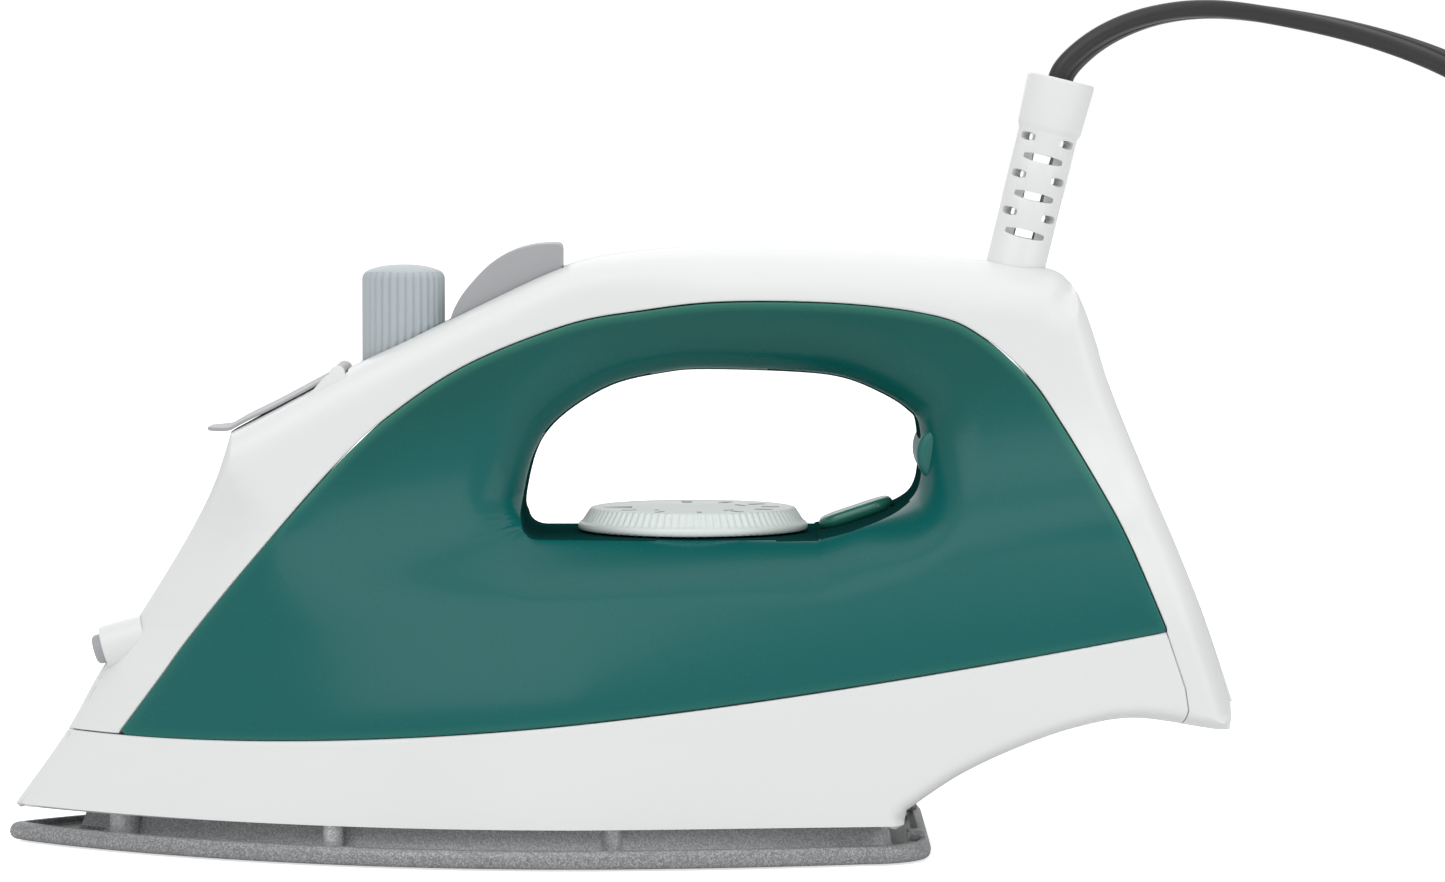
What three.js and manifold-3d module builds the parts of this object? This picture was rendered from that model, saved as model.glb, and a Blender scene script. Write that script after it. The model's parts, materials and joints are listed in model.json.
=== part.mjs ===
// Household steam iron: soleplate, heat control, water tank, housing shells and mains lead.
// Millimetres, +Z up. Nose at -X, heel at +X, soleplate face at z = 0.
import * as THREE from 'three';
import { mergeVertices } from 'three/addons/utils/BufferGeometryUtils.js';
import Module from 'manifold-3d';

const wasm = await Module();
wasm.setup();

// ---- driving dimensions, mm -------------------------------------------------
const LENGTH = 268;             // soleplate tip to heel
const HEIGHT = 131.2;           // soleplate face to handle top
const SOLE_WIDTH = 108;         // widest place of the soleplate
const HANDLE_WIDTH = 34;        // grip, side to side
const WALL = 2;                 // moulded shells
const GAP = 0.3;                // between pieces that touch
const RIM_HEIGHT = 4;           // soleplate edge
const CASTING_TOP = 12.6;       // soleplate casting under the skirt
const VENT_DIAMETER = 3;
const ELEMENT_DIAMETER = 7;
const DIAL_DIAMETER = 50.6;
const DIAL_HEIGHT = 5.1;
const SHAFT_DIAMETER = 8;       // dial shaft
const KNOB_DIAMETER = 18.2;
const KNOB_TOP = 127;
const ROD_DIAMETER = 3;         // steam valve rod
const BUTTON_WIDTH = 16.5;
const BUTTON_TRAVEL = 4;
const BARREL_DIAMETER = 9;      // spray pump
const PISTON_DIAMETER = 5;
const TUBE_DIAMETER = 3.6;      // water tubes
const NOZZLE_DIAMETER = 6.6;
const LID_THICKNESS = 1.5;
const PIN_DIAMETER = 2;         // lid hinge pin
const GUARD_DIAMETER = 13;
const GUARD_COLLAR_DIAMETER = 14.8;
const GUARD_LENGTH = 41.6;
const GUARD_LEAN = THREE.MathUtils.degToRad(13.7);
const LEAD_WIDTH = 6.6;         // flat twin lead
const LEAD_THICKNESS = 3.8;
const COIL_MEAN_DIAMETER = 76;
const COIL_BAND = 14;           // width of the coil's turns, side by side
const COIL_HEIGHT = 17.6;       // height of the coil's turns, lying on each other
const WIRE_DIAMETER = 2.6;
const SCREW_HEAD = 6;
const SCREW_SHANK = 3;
const LAMP_DIAMETER = 5;

// The outlines below are drawn at these overall sizes and follow the driving ones.
const DRAWN_LENGTH = 268;
const DRAWN_HEIGHT = 131.2;
const X = (x) => x * LENGTH / DRAWN_LENGTH;
const Z = (z) => z * HEIGHT / DRAWN_HEIGHT;

// ---- materials ---------------------------------------------------------------
const finish = (color, roughness, metalness = 0) => new THREE.MeshStandardMaterial({ color, roughness, metalness });
const WHITE = finish(0xe6e8e6, 0.35);
const TANK = finish(0x1f5a58, 0.15);
const PALE_MINT = finish(0xdee8e6, 0.3);
const GREY_BLUE = finish(0xbec5c8, 0.4);
const GREY = finish(0xbcbcbe, 0.4);
const CAST = finish(0x9a9a98, 0.5, 0.8);
const STEEL = finish(0xb4b4b4, 0.3, 1);
const BRASS = finish(0xb08d45, 0.35, 1);
const NATURAL = finish(0xe8e4d8, 0.5);
const SEAL = finish(0x30302f, 0.8);
const BLACK = finish(0x303032, 0.6);
const LENS = finish(0x2c7a68, 0.1);

// ---- solids and booleans -----------------------------------------------------
function solid(source) {
  let geometry = source.clone();
  geometry.deleteAttribute('normal');
  geometry.deleteAttribute('uv');
  geometry = mergeVertices(geometry, 1e-4);
  return new wasm.Manifold(new wasm.Mesh({
    numProp: 3,
    vertProperties: new Float32Array(geometry.attributes.position.array),
    triVerts: new Uint32Array(geometry.index.array),
  }));
}

function geometryOf(manifold) {
  const mesh = manifold.getMesh();
  const geometry = new THREE.BufferGeometry();
  geometry.setAttribute('position', new THREE.BufferAttribute(new Float32Array(mesh.vertProperties), 3));
  geometry.setIndex(new THREE.BufferAttribute(new Uint32Array(mesh.triVerts), 1));
  geometry.computeVertexNormals();
  return geometry;
}

const iron = new THREE.Group();
function place(name, shape, material, parent = iron) {
  const geometry = shape.isBufferGeometry ? shape : geometryOf(shape);
  const mesh = new THREE.Mesh(geometry, material);
  mesh.name = name;
  parent.add(mesh);
  return mesh;
}

// A closed body through rings of points that all hold the same number of points.
function loft(rings) {
  const count = rings[0].length;
  const positions = rings.flat().flatMap((p) => [p[0], p[1], p[2]]);
  const index = [];
  for (let r = 0; r < rings.length - 1; r += 1) {
    for (let i = 0; i < count; i += 1) {
      const a = r * count + i;
      const b = r * count + (i + 1) % count;
      index.push(a, b, b + count, a, b + count, a + count);
    }
  }
  const flat = rings[0].map((p) => new THREE.Vector2(p[0], p[1]));
  for (const [a, b, c] of THREE.ShapeUtils.triangulateShape(flat, [])) {
    index.push(c, b, a);
  }
  const last = (rings.length - 1) * count;
  const top = rings[rings.length - 1].map((p) => new THREE.Vector2(p[0], p[1]));
  for (const [a, b, c] of THREE.ShapeUtils.triangulateShape(top, [])) {
    index.push(last + a, last + b, last + c);
  }
  const geometry = new THREE.BufferGeometry();
  geometry.setAttribute('position', new THREE.Float32BufferAttribute(positions, 3));
  geometry.setIndex(index);
  return geometry;
}

// A side outline, as [x, z] points, pushed through the whole width from -half to +half in y.
function sidePrism(points, half) {
  const shape = new THREE.Shape(points.map(([x, z]) => new THREE.Vector2(x, z)));
  const geometry = new THREE.ExtrudeGeometry(shape, { depth: 2 * half, bevelEnabled: false, curveSegments: 6 });
  geometry.rotateX(Math.PI / 2);
  geometry.translate(0, half, 0);
  return geometry;
}

// A plan outline, as [x, y] points, from z0 up to z1.
function planPrism(points, z0, z1) {
  const shape = new THREE.Shape(points.map(([x, y]) => new THREE.Vector2(x, y)));
  const geometry = new THREE.ExtrudeGeometry(shape, { depth: z1 - z0, bevelEnabled: false });
  geometry.translate(0, 0, z0);
  return geometry;
}

const rodZ = (x, y, z0, z1, diameter, sides = 20) => new THREE.CylinderGeometry(
  diameter / 2, diameter / 2, z1 - z0, sides).rotateX(Math.PI / 2).translate(x, y, (z0 + z1) / 2);

function lathe(profile, sides = 24) {
  return new THREE.LatheGeometry(profile.map(([r, z]) => new THREE.Vector2(r, z)), sides).rotateX(Math.PI / 2);
}

const tubeZ = (outer, inner, z0, z1, sides = 24) => lathe([
  [inner / 2, z0], [outer / 2, z0], [outer / 2, z1], [inner / 2, z1], [inner / 2, z0]], sides);

// A round tube or wire along a smooth curve through the given points.
function wire(points, diameter, steps, sides = 8) {
  const curve = new THREE.CatmullRomCurve3(points.map((p) => new THREE.Vector3(...p)), false, 'centripetal');
  const section = new THREE.Shape();
  section.absarc(0, 0, diameter / 2, 0, 2 * Math.PI);
  return new THREE.ExtrudeGeometry(section, { steps, extrudePath: curve, curveSegments: sides / 2 });
}

// Points on a smooth open curve through [x, z] points.
function smooth(points, count) {
  const curve = new THREE.SplineCurve(points.map(([x, z]) => new THREE.Vector2(x, z)));
  return curve.getPoints(count).map((p) => [p.x, p.y]);
}

// Screw with a slotted pan head; the head's seat is at z = 0 and the shank points down.
function screw(length) {
  const body = solid(lathe([[0, -length], [SCREW_SHANK / 2 - 0.5, -length], [SCREW_SHANK / 2, 0.6 - length],
    [SCREW_SHANK / 2, 0], [SCREW_HEAD / 2, 0], [SCREW_HEAD / 2, 1.2], [SCREW_HEAD / 2 - 0.8, 1.8], [0, 1.8]], 8));
  return body.subtract(solid(new THREE.BoxGeometry(2 * SCREW_HEAD, 0.8, 1.4).translate(0, 0, 1.9)));
}

// ---- body outlines, drawn in the x-z plane --------------------------------------
const NOSE = [[-132.6, 8.1], [-121.6, 23.5], [-113.7, 37.4], [-106.3, 47.7], [-94.6, 66.6], [-88, 79.6],
  [-84.3, 90.5]].map(([x, z]) => [X(x), Z(z)]);
const SLOPE = [[-84.3, 90.5], [-56.2, 105.5], [-37.5, 114.5], [-11.8, 126.5], [4, 130], [24, 131.2], [50, 130.5],
  [77, 128.4], [94.8, 126.2], [100, 123]].map(([x, z]) => [X(x), Z(z)]);
const HEEL = [[100, 123], [103.2, 116.3], [109.8, 96.5], [116.4, 80.2], [122.2, 66.5], [128, 51], [134, 32.5]]
  .map(([x, z]) => [X(x), Z(z)]);
const OVERHANG = [[134, 32.5], [134, 28.9], [131.3, 26.6], [113, 29.1], [100.3, 27.2], [87.6, 22.9], [74.9, 17],
  [63.6, 9.6]].map(([x, z]) => [X(x), Z(z)]);
const OPENING_GRIP = [[-19.7, 71.3], [-20, 75], [-17.4, 86], [-12, 93.7], [-1, 100.7], [11, 103.6], [20.3, 104.3],
  [39.9, 103.7], [50, 102.4], [58, 99.2], [63.6, 95.7], [66.2, 91.7], [66.2, 80], [61.9, 74.5], [52, 70.6],
  [44, 68.5]].map(([x, z]) => [X(x), Z(z)]);
const DECK_Z = Z(68.3);
const TANK_SEAM = [[-108.3, 25.3], [-99.5, 37], [-92.6, 46.4], [-79.4, 62.5], [-60, 84.5], [-47, 96], [-31, 106.2],
  [-10, 114.4], [6, 117.4], [24, 119.3], [50, 118.9], [70, 116.2], [80, 111.6], [90, 103], [97, 93], [105, 79.5],
  [111, 68], [118.5, 50.2]].map(([x, z]) => [X(x), Z(z)]);
const REAR_SEAM = [[118.5, 49.4], [122.6, 37.2], [123.3, 32.5], [121, 24]].map(([x, z]) => [X(x), Z(z)]);
const MOUTH_Z = Z(8.1);         // open lower edge of the skirt
const SEAM_RISE = 24.9;         // how far the skirt's top edge climbs from nose to heel
const MIDDLE = [X(22), Z(88)];  // inside the handle opening, which the rest of the body goes around
const WIDE_X = X(-8);           // where the body is widest

// Height of the seam between skirt and tank.
function seamZ(x) {
  const t = Math.max(0, (x - X(-108)) / X(226.5));
  return Z(24.5 + SEAM_RISE * t ** 1.75);
}

// Piecewise-linear look-up of column `to` where column `from` has the value.
function lookUp(points, from, to, value) {
  for (let i = 0; i < points.length - 1; i += 1) {
    const [a, b] = [points[i], points[i + 1]];
    if ((value - a[from]) * (value - b[from]) <= 0 && a[from] !== b[from]) {
      return a[to] + (b[to] - a[to]) * (value - a[from]) / (b[from] - a[from]);
    }
  }
  return (value - points[0][from]) * (points.at(-1)[from] - points[0][from]) <= 0 ? points[0][to] : points.at(-1)[to];
}
const topZ = (x) => lookUp([...NOSE, ...SLOPE], 0, 1, x);
const tankTopZ = (x) => lookUp(TANK_SEAM.slice(0, 11), 0, 1, x);

// Half width of a pointed plan form that has its tip at `tip`.
function planHalfWidth(x, tip, half, taper) {
  if (x <= tip) {
    return 0;
  }
  if (x < WIDE_X) {
    const u = (x - tip) / (WIDE_X - tip);
    return half * (1 - (1 - u) ** 2) ** 0.9;
  }
  const t = Math.min(1, (x - WIDE_X) / X(142));
  return half - taper * (1 - (1 - t) ** 2.2) ** 1.5;
}

const softMin = (a, b) => (Math.max(a, 0.01) ** -6 + Math.max(b, 0.01) ** -6) ** (-1 / 6);

// Half width of the body at a place in side view, before its edges are rounded.
function bodyHalfWidth(x, z, inset) {
  const wide = SOLE_WIDTH / 2 - 3.4;
  const tip = lookUp(NOSE, 1, 0, z) + 1.4 * inset;
  const above = z - seamZ(x);
  const draft = 1 - 0.02 * THREE.MathUtils.clamp((z - MOUTH_Z) / Z(18), 0, 1);
  const plan = planHalfWidth(x, tip, wide * draft, 10) + 30 * THREE.MathUtils.smoothstep(z, Z(68), Z(96));
  const grip = HANDLE_WIDTH / 2 + 0.3;
  const flare = above < 0 ? 1 : (1 - 0.004 * Math.min(above, 80)) / (1 + (above / Z(35)) ** 5);
  const upright = planHalfWidth(x, lookUp(NOSE, 1, 0, Z(24)), wide * draft, 10);
  const side = grip + flare * (Math.max(upright, grip) - grip);
  return THREE.MathUtils.lerp(plan, softMin(plan, side), THREE.MathUtils.smoothstep(above, 0, Z(24))) - inset;
}

// Distance from a place to a chain of points, and the nearest place's x and z.
function nearest(points, x, z) {
  let best = [Infinity, 0, 0];
  for (let i = 0; i < points.length - 1; i += 1) {
    const [a, b] = [points[i], points[i + 1]];
    const [dx, dz] = [b[0] - a[0], b[1] - a[1]];
    const t = THREE.MathUtils.clamp(((x - a[0]) * dx + (z - a[1]) * dz) / (dx * dx + dz * dz || 1), 0, 1);
    const [px, pz] = [a[0] + t * dx, a[1] + t * dz];
    const d = Math.hypot(x - px, z - pz);
    if (d < best[0]) {
      best = [d, px, pz];
    }
  }
  return best;
}

// A chain of points moved sideways, to its left for a positive distance.
function offset(points, distance) {
  return points.map((p, i) => {
    const a = points[Math.max(0, i - 1)];
    const b = points[Math.min(points.length - 1, i + 1)];
    const length = Math.hypot(b[0] - a[0], b[1] - a[1]);
    return [p[0] - distance * (b[1] - a[1]) / length, p[1] + distance * (b[0] - a[0]) / length];
  });
}

const rounded = (d, radius, power) => (1 - (1 - Math.min(d / radius, 1)) ** power) ** (1 / power);

// The body's edges, each with its outline and how round the width grows from it.
function bodyEdges(inset) {
  const chain = (points, count) => offset(smooth(points, count), -inset);
  return [
    { points: chain(NOSE, 24), radius: () => 2.5, power: () => 2 },
    { points: chain(SLOPE, 36), radius: () => 12, power: (x) => 4.5 - 2.3 * THREE.MathUtils.smoothstep(x, -15, 25) },
    { points: chain(HEEL, 16), radius: () => 9, power: () => 4 },
    { points: chain(OVERHANG, 20), radius: () => 5, power: () => 3 },
  ];
}

function openingEdge(inset) {
  const grip = smooth(OPENING_GRIP, 48);
  const deckEnd = grip.at(-1)[0];
  const start = grip[0];
  const deck = [0, 0.2, 0.4, 0.6, 0.8].map((t) => [deckEnd + (start[0] + 4 - deckEnd) * t, DECK_Z]);
  return offset([...grip, ...deck, [start[0] + 1.2, DECK_Z + 0.8], start], inset);
}

// Where a ray from MIDDLE last crosses a closed chain of points.
function reach(points, angle) {
  const [dx, dz] = [Math.cos(angle), Math.sin(angle)];
  let best = 0;
  points.forEach((a, i) => {
    const b = points[(i + 1) % points.length];
    const [ex, ez] = [b[0] - a[0], b[1] - a[1]];
    const cross = dx * ez - dz * ex;
    const [wx, wz] = [a[0] - MIDDLE[0], a[1] - MIDDLE[1]];
    const along = (wx * ez - wz * ex) / cross;
    const t = (wx * dz - wz * dx) / cross;
    if (Math.abs(cross) > 1e-9 && t >= -1e-6 && t <= 1 + 1e-6 && along > best) {
      best = along;
    }
  });
  return best;
}

const SPOKES = 38;
const STEPS = [0, 0.1, 0.33, 0.62, 0.84, 0.95, 1];

// The whole body around the handle opening, made smaller by `inset` and open below for a hollow.
function bodySolid(inset) {
  const edges = bodyEdges(inset);
  const opening = openingEdge(inset);
  const floor = inset > 0 ? MOUTH_Z - 6 : MOUTH_Z;
  const outer = [...edges.flatMap((edge) => edge.points)];
  outer.push([outer.at(-1)[0], floor], [outer[0][0], floor]);
  const columns = SPOKE_ANGLES.map((angle) => {
    const [near, far] = [reach(opening, angle), reach(outer, angle)];
    return STEPS.map((t) => {
      const r = near + (far - near) * t;
      const [x, z] = [MIDDLE[0] + r * Math.cos(angle), MIDDLE[1] + r * Math.sin(angle)];
      return [x, edgedHalfWidth(x, z, inset, edges, opening, t), z];
    });
  });
  return ringBody(columns);
}

// Ray angles: evenly spaced, with the outline's corners among them.
function spokeAngles() {
  const corners = [NOSE[0], NOSE[1], SLOPE[0], HEEL[0], OVERHANG[0], OVERHANG[1], OVERHANG[2], OVERHANG.at(-1),
    [OVERHANG.at(-1)[0], MOUTH_Z]].map(([x, z]) => Math.atan2(z - MIDDLE[1], x - MIDDLE[0]));
  const even = Array.from({ length: SPOKES }, (_, i) => -Math.PI + (i + 0.5) * 2 * Math.PI / SPOKES)
    .filter((a) => corners.every((c) => Math.abs(a - c) > Math.PI / SPOKES / 2));
  return [...corners, ...even].sort((a, b) => a - b);
}
const SPOKE_ANGLES = spokeAngles();

function edgedHalfWidth(x, z, inset, edges, opening, t) {
  let width = bodyHalfWidth(x, z, inset);
  let factor = 1;
  for (const edge of edges) {
    const [d, px] = nearest(edge.points, x, z);
    const radius = Math.max(edge.radius(px) - inset, 1.5);
    factor = Math.min(factor, rounded(t === 1 && d < 0.01 ? 0 : d, radius, edge.power(px)));
  }
  width *= factor;
  const [d, , pz] = nearest([...opening, opening[0]], x, z);
  const rim = THREE.MathUtils.lerp(23, 8.5, THREE.MathUtils.smoothstep(pz, Z(70), Z(77))) - inset;
  const lip = Math.min(rim, width);
  width = lip + (width - lip) * rounded(d, 8 - inset, 2);
  return Math.max(width, 1.2 - 0.3 * Math.min(inset, 2));
}

// A body from columns of [x, half width, z] points that go once round the opening.
function ringBody(columns) {
  const rows = columns[0].length;
  const positions = [];
  for (const side of [1, -1]) {
    for (const column of columns) {
      column.forEach(([x, w, z]) => positions.push(x, side * w, z));
    }
  }
  const half = columns.length * rows;
  const index = [];
  const quad = (a, b, c, d) => index.push(a, b, c, a, c, d);
  columns.forEach((_, i) => {
    const j = (i + 1) % columns.length;
    for (let k = 0; k < rows - 1; k += 1) {
      const [a, b, c, d] = [i * rows + k, j * rows + k, j * rows + k + 1, i * rows + k + 1];
      quad(a, b, c, d);
      quad(half + a, half + d, half + c, half + b);
    }
    quad(i * rows, half + i * rows, half + j * rows, j * rows);
    const [p, q] = [i * rows + rows - 1, j * rows + rows - 1];
    quad(p, q, half + q, half + p);
  });
  const geometry = new THREE.BufferGeometry();
  geometry.setAttribute('position', new THREE.Float32BufferAttribute(positions, 3));
  geometry.setIndex(index);
  return geometry;
}

// ---- regions that part the body into its shells -----------------------------------
const FAR = 90;
const tankSeam = smooth(TANK_SEAM, 20);
const seamBack = Array.from({ length: 9 }, (_, i) => {
  const x = X(118.5) + (X(-108.3) - X(118.5)) * i / 8;
  return [x, seamZ(x)];
});

// Inside the tank's seam, smaller by `inset`; `drop` lowers the lower side.
function tankRegion(inset, drop = 0) {
  const upper = offset(tankSeam, -inset);
  const [front, rear] = [upper[0], upper.at(-1)];
  const lower = [[rear[0] + 0.01, seamZ(rear[0])], ...seamBack, [front[0] - 0.01, seamZ(front[0])]]
    .filter(([x]) => x > front[0] - 0.02 && x < rear[0] + 0.02)
    .map(([x, z]) => [x, Math.min(z + inset - drop, ...(x > rear[0] ? [rear[1] - 0.05] : []),
      ...(x < front[0] ? [front[1] - 0.05] : []))]);
  return sidePrism([...upper, ...lower].reverse(), FAR);
}

// Below the seam and ahead of the heel, smaller by `inset`.
function skirtRegion(inset) {
  const upper = [[X(-160), Z(24.5)], ...[...seamBack].reverse()].map(([x, z]) => [x, z - inset]);
  const rear = offset(REAR_SEAM, -inset);
  return sidePrism([[X(-160), -20], [rear.at(-1)[0], -20], ...[...rear].reverse(),
    ...upper.reverse().slice(1)], FAR);
}

const outerBody = solid(bodySolid(0));
const innerBody = solid(bodySolid(WALL));
const linerBody = solid(bodySolid(WALL + 1.2));   // clear of the shells' inner faces
const skin = outerBody.subtract(innerBody);

// ---- small helpers for pieces ---------------------------------------------------
const largest = (manifold) => manifold.decompose().sort((a, b) => b.volume() - a.volume())[0];
const cut = (body, ...tools) => tools.reduce((left, tool) => left.subtract(solid(tool)), body);
const join = (...shapes) => shapes.map(solid).reduce((sum, next) => sum.add(next));
const box = (x0, x1, y0, y1, z0, z1) => new THREE.BoxGeometry(x1 - x0, y1 - y0, z1 - z0)
  .translate((x0 + x1) / 2, (y0 + y1) / 2, (z0 + z1) / 2);
const rodX = (x0, x1, y, z, diameter, sides = 20) => new THREE.CylinderGeometry(
  diameter / 2, diameter / 2, x1 - x0, sides).rotateZ(Math.PI / 2).translate((x0 + x1) / 2, y, z);
const rodY = (y0, y1, x, z, diameter, sides = 16) => new THREE.CylinderGeometry(
  diameter / 2, diameter / 2, y1 - y0, sides).translate(x, (y0 + y1) / 2, z);

// Aims a shape made along +Z from the origin to start at a point and run along a direction.
function aim(object, point, direction) {
  const turn = new THREE.Quaternion().setFromUnitVectors(
    new THREE.Vector3(0, 0, 1), new THREE.Vector3(...direction).normalize());
  if (object.isBufferGeometry) {
    return object.applyMatrix4(new THREE.Matrix4().compose(
      new THREE.Vector3(...point), turn, new THREE.Vector3(1, 1, 1)));
  }
  object.position.set(...point);
  object.quaternion.copy(turn);
  return object;
}

// ---- places ----------------------------------------------------------------------
const KNOB_X = X(-46.6);
const BUTTON_X = [KNOB_X + KNOB_DIAMETER / 2 + 1.5, X(-11.6)];
const PUMP_X = X(-24.5);
const FILL_X = X(-72);
const DIAL_X = X(17);
const FUSE_X = X(40);
const GUARD_BASE = [X(88), 0, Z(127.2)];
const NOZZLE_Z = Z(43.4);
const NOZZLE_X = lookUp(NOSE, 1, 0, NOZZLE_Z);
const NOZZLE_TILT = THREE.MathUtils.degToRad(15.7); // the jet's fall below level
const NOZZLE_AXIS = [-Math.cos(NOZZLE_TILT), 0, -Math.sin(NOZZLE_TILT)];
const alongNozzle = (object) => aim(object, [NOZZLE_X, 0, NOZZLE_Z], NOZZLE_AXIS);
const behindNozzle = (step) => [NOZZLE_X - step * NOZZLE_AXIS[0], 0, NOZZLE_Z - step * NOZZLE_AXIS[2]];
const HINGE = [X(-60.4), topZ(X(-60.4)) + 0.35];
const SOLE_TIP = X(-134);
const SOLE_HEEL = X(68.5);
const HEEL_CORNER = 14;

// ---- soleplate ----------------------------------------------------------------------
function soleRing(z, tipInset, sideInset, heel = SOLE_HEEL) {
  const [tip, end, corner] = [SOLE_TIP + tipInset, heel - sideInset, HEEL_CORNER - sideInset / 2];
  const half = (x) => {
    const width = SOLE_WIDTH / 2 - sideInset;
    return x < WIDE_X ? width * (1 - ((WIDE_X - x) / (WIDE_X - tip)) ** 2) ** 0.9
      : width - 9.5 * ((x - WIDE_X) / X(64)) ** 1.8;
  };
  const side = Array.from({ length: 10 }, (_, i) => {
    const x = tip + (end - corner - tip) * ((i + 1) / 10) ** 1.35;
    return [x, half(x)];
  });
  const edge = half(end - corner) - corner;
  const arc = [0.35, 0.7, 1].map((t) => [end - corner + corner * Math.sin(t * Math.PI / 2),
    edge + corner * Math.cos(t * Math.PI / 2)]);
  const one = [...side, ...arc];
  return [[tip, 0], ...one.map(([x, y]) => [x, -y]), ...[...one].reverse()].map(([x, y]) => [x, y, z]);
}

const CHAMBER = { front: X(-70), rear: X(-6), half: 20, floor: 6 };
function chamberPlan(inset) {
  const { front, rear, half } = CHAMBER;
  const shoulder = front + 0.45 * (rear - front);
  return [[front + 1.6 * inset, 0], [shoulder, -half + inset], [rear - inset, -half + inset],
    [rear - inset, half - inset], [shoulder, half - inset]];
}

const ELEMENT_PATH = [[59, 24.6, 22], [57.5, 25, 17], [51, 27, 13.6], [40, 30, 13.2], [10, 34, 13.2],
  [-30, 31, 13.2], [-62, 20, 13.2], [-84, 8, 13.2]].map(([x, y, z]) => [X(x), y, z - 12.6 + CASTING_TOP]);
const elementRoute = [...ELEMENT_PATH, [X(-89), 0, CASTING_TOP + 0.6],
  ...[...ELEMENT_PATH].reverse().map(([x, y, z]) => [x, -y, z])];

function soleplate() {
  const body = solid(loft([soleRing(0, 1.6, 1), soleRing(1, 0.2, 0), soleRing(3, 0, 0), soleRing(RIM_HEIGHT, 1.2, 0.8),
    soleRing(RIM_HEIGHT, 3, 2.2), soleRing(RIM_HEIGHT - 0.8, 4, 3), soleRing(RIM_HEIGHT - 0.8, 15, 8.5),
    soleRing(CASTING_TOP - 1, 19, 10.5), soleRing(CASTING_TOP, 21, 11.5)]));
  const vents = Array.from({ length: 9 }, (_, i) => {
    const k = Math.ceil(i / 2);
    const x = CHAMBER.front + 8 + k * X(13);
    const y = i === 0 ? 0 : (i % 2 ? 1 : -1) * Math.min(1.5 + k * 4.4, CHAMBER.half - 5);
    return rodZ(x, y, -1, CHAMBER.floor + 1, VENT_DIAMETER, 6);
  });
  const screws = [...coverScrews, ...bodyScrews].map((x) => rodZ(x, 0, CASTING_TOP - 8.5, CASTING_TOP + 1,
    SCREW_SHANK + 2 * GAP, 10));
  return cut(body, planPrism(chamberPlan(0), CHAMBER.floor, CASTING_TOP + 1), ...vents, ...screws,
    wire(elementRoute, ELEMENT_DIAMETER + 2 * GAP, 30));
}
const coverScrews = [X(-76), X(-1)];
const bodyScrews = [X(-102), X(50)];

place('soleplate', soleplate(), CAST);
place('heating_element', wire(elementRoute, ELEMENT_DIAMETER, 30), STEEL);
for (const [name, side] of [['element_tab_left', 1], ['element_tab_right', -1]]) {
  const [x, y, z] = ELEMENT_PATH[0];
  place(name, box(x - 3, x + 3, side * y - 0.4, side * y + 0.4, z + 1.4, z + 9), BRASS);
}
const coverTop = CASTING_TOP + GAP + 1.6;
place('steam_chamber_cover', cut(solid(planPrism([[coverScrews[0] - 4, 4], [coverScrews[0] - 4, -4],
  ...chamberPlan(-3).slice(1, 3), [coverScrews[1] + 5, -4], [coverScrews[1] + 5, 4],
  ...chamberPlan(-3).slice(3)], CASTING_TOP + GAP, coverTop)),
...coverScrews.map((x) => rodZ(x, 0, 0, 30, SCREW_SHANK + 2 * GAP, 10))), STEEL);
place('chamber_cover_screw_front', screw(8), STEEL).position.set(coverScrews[0], 0, coverTop + GAP);
place('chamber_cover_screw_rear', screw(8), STEEL).position.set(coverScrews[1], 0, coverTop + GAP);
place('body_screw_front', screw(8), STEEL).position.set(bodyScrews[0], 0, CASTING_TOP + GAP);
place('body_screw_rear', screw(8), STEEL).position.set(bodyScrews[1], 0, CASTING_TOP + GAP);

const frameFoot = CASTING_TOP + GAP;
const SHAFT_END = frameFoot + 11;
const sleeveFoot = seamZ(DIAL_X) - 3;
const neckTop = THREE.MathUtils.lerp(frameFoot + 10, sleeveFoot, 0.54);
place('thermostat_frame', join(box(DIAL_X - 11, DIAL_X + 14, -8, 8, frameFoot, frameFoot + 1.5),
  box(DIAL_X - 11, DIAL_X - 9, -8, 8, frameFoot, frameFoot + 10),
  box(DIAL_X - 11, DIAL_X + 8, -8, 8, frameFoot + 8.5, frameFoot + 10),
  tubeZ(SHAFT_DIAMETER + 5, SHAFT_DIAMETER + 2 * GAP, frameFoot + 8.5, neckTop).translate(DIAL_X, 0, 0))
  .subtract(solid(rodZ(DIAL_X, 0, frameFoot + 5, frameFoot + 20, SHAFT_DIAMETER + 2 * GAP))), STEEL);
place('thermostat_blade', box(DIAL_X - 8.5, DIAL_X + 13, -3.5, 3.5, frameFoot + 4.2, frameFoot + 4.8), BRASS);
place('thermal_fuse', rodX(FUSE_X - 7, FUSE_X + 6, 12, CASTING_TOP + GAP + 2.2, 4.2, 14), STEEL);

// ---- shells -----------------------------------------------------------------------------
place('skirt', largest(skin.intersect(solid(skirtRegion(GAP / 2)))), WHITE);

const baseLow = [...seamBack].map(([x, z]) => [x, z - 1.5]);
const baseHigh = [...seamBack].reverse().map(([x, z]) => [x, z + 1.5]);
const sleeveOuter = SHAFT_DIAMETER + 4;
const seatOuter = ROD_DIAMETER + 5;
place('tank_base', largest(cut(linerBody.intersect(solid(sidePrism([...baseLow, ...baseHigh], FAR)))
  .intersect(solid(tankRegion(WALL + GAP, 12))),
rodZ(DIAL_X, 0, 0, 60, sleeveOuter + 2 * GAP), rodZ(KNOB_X, 0, 0, 60, seatOuter + 2 * GAP, 16))), NATURAL);

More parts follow.
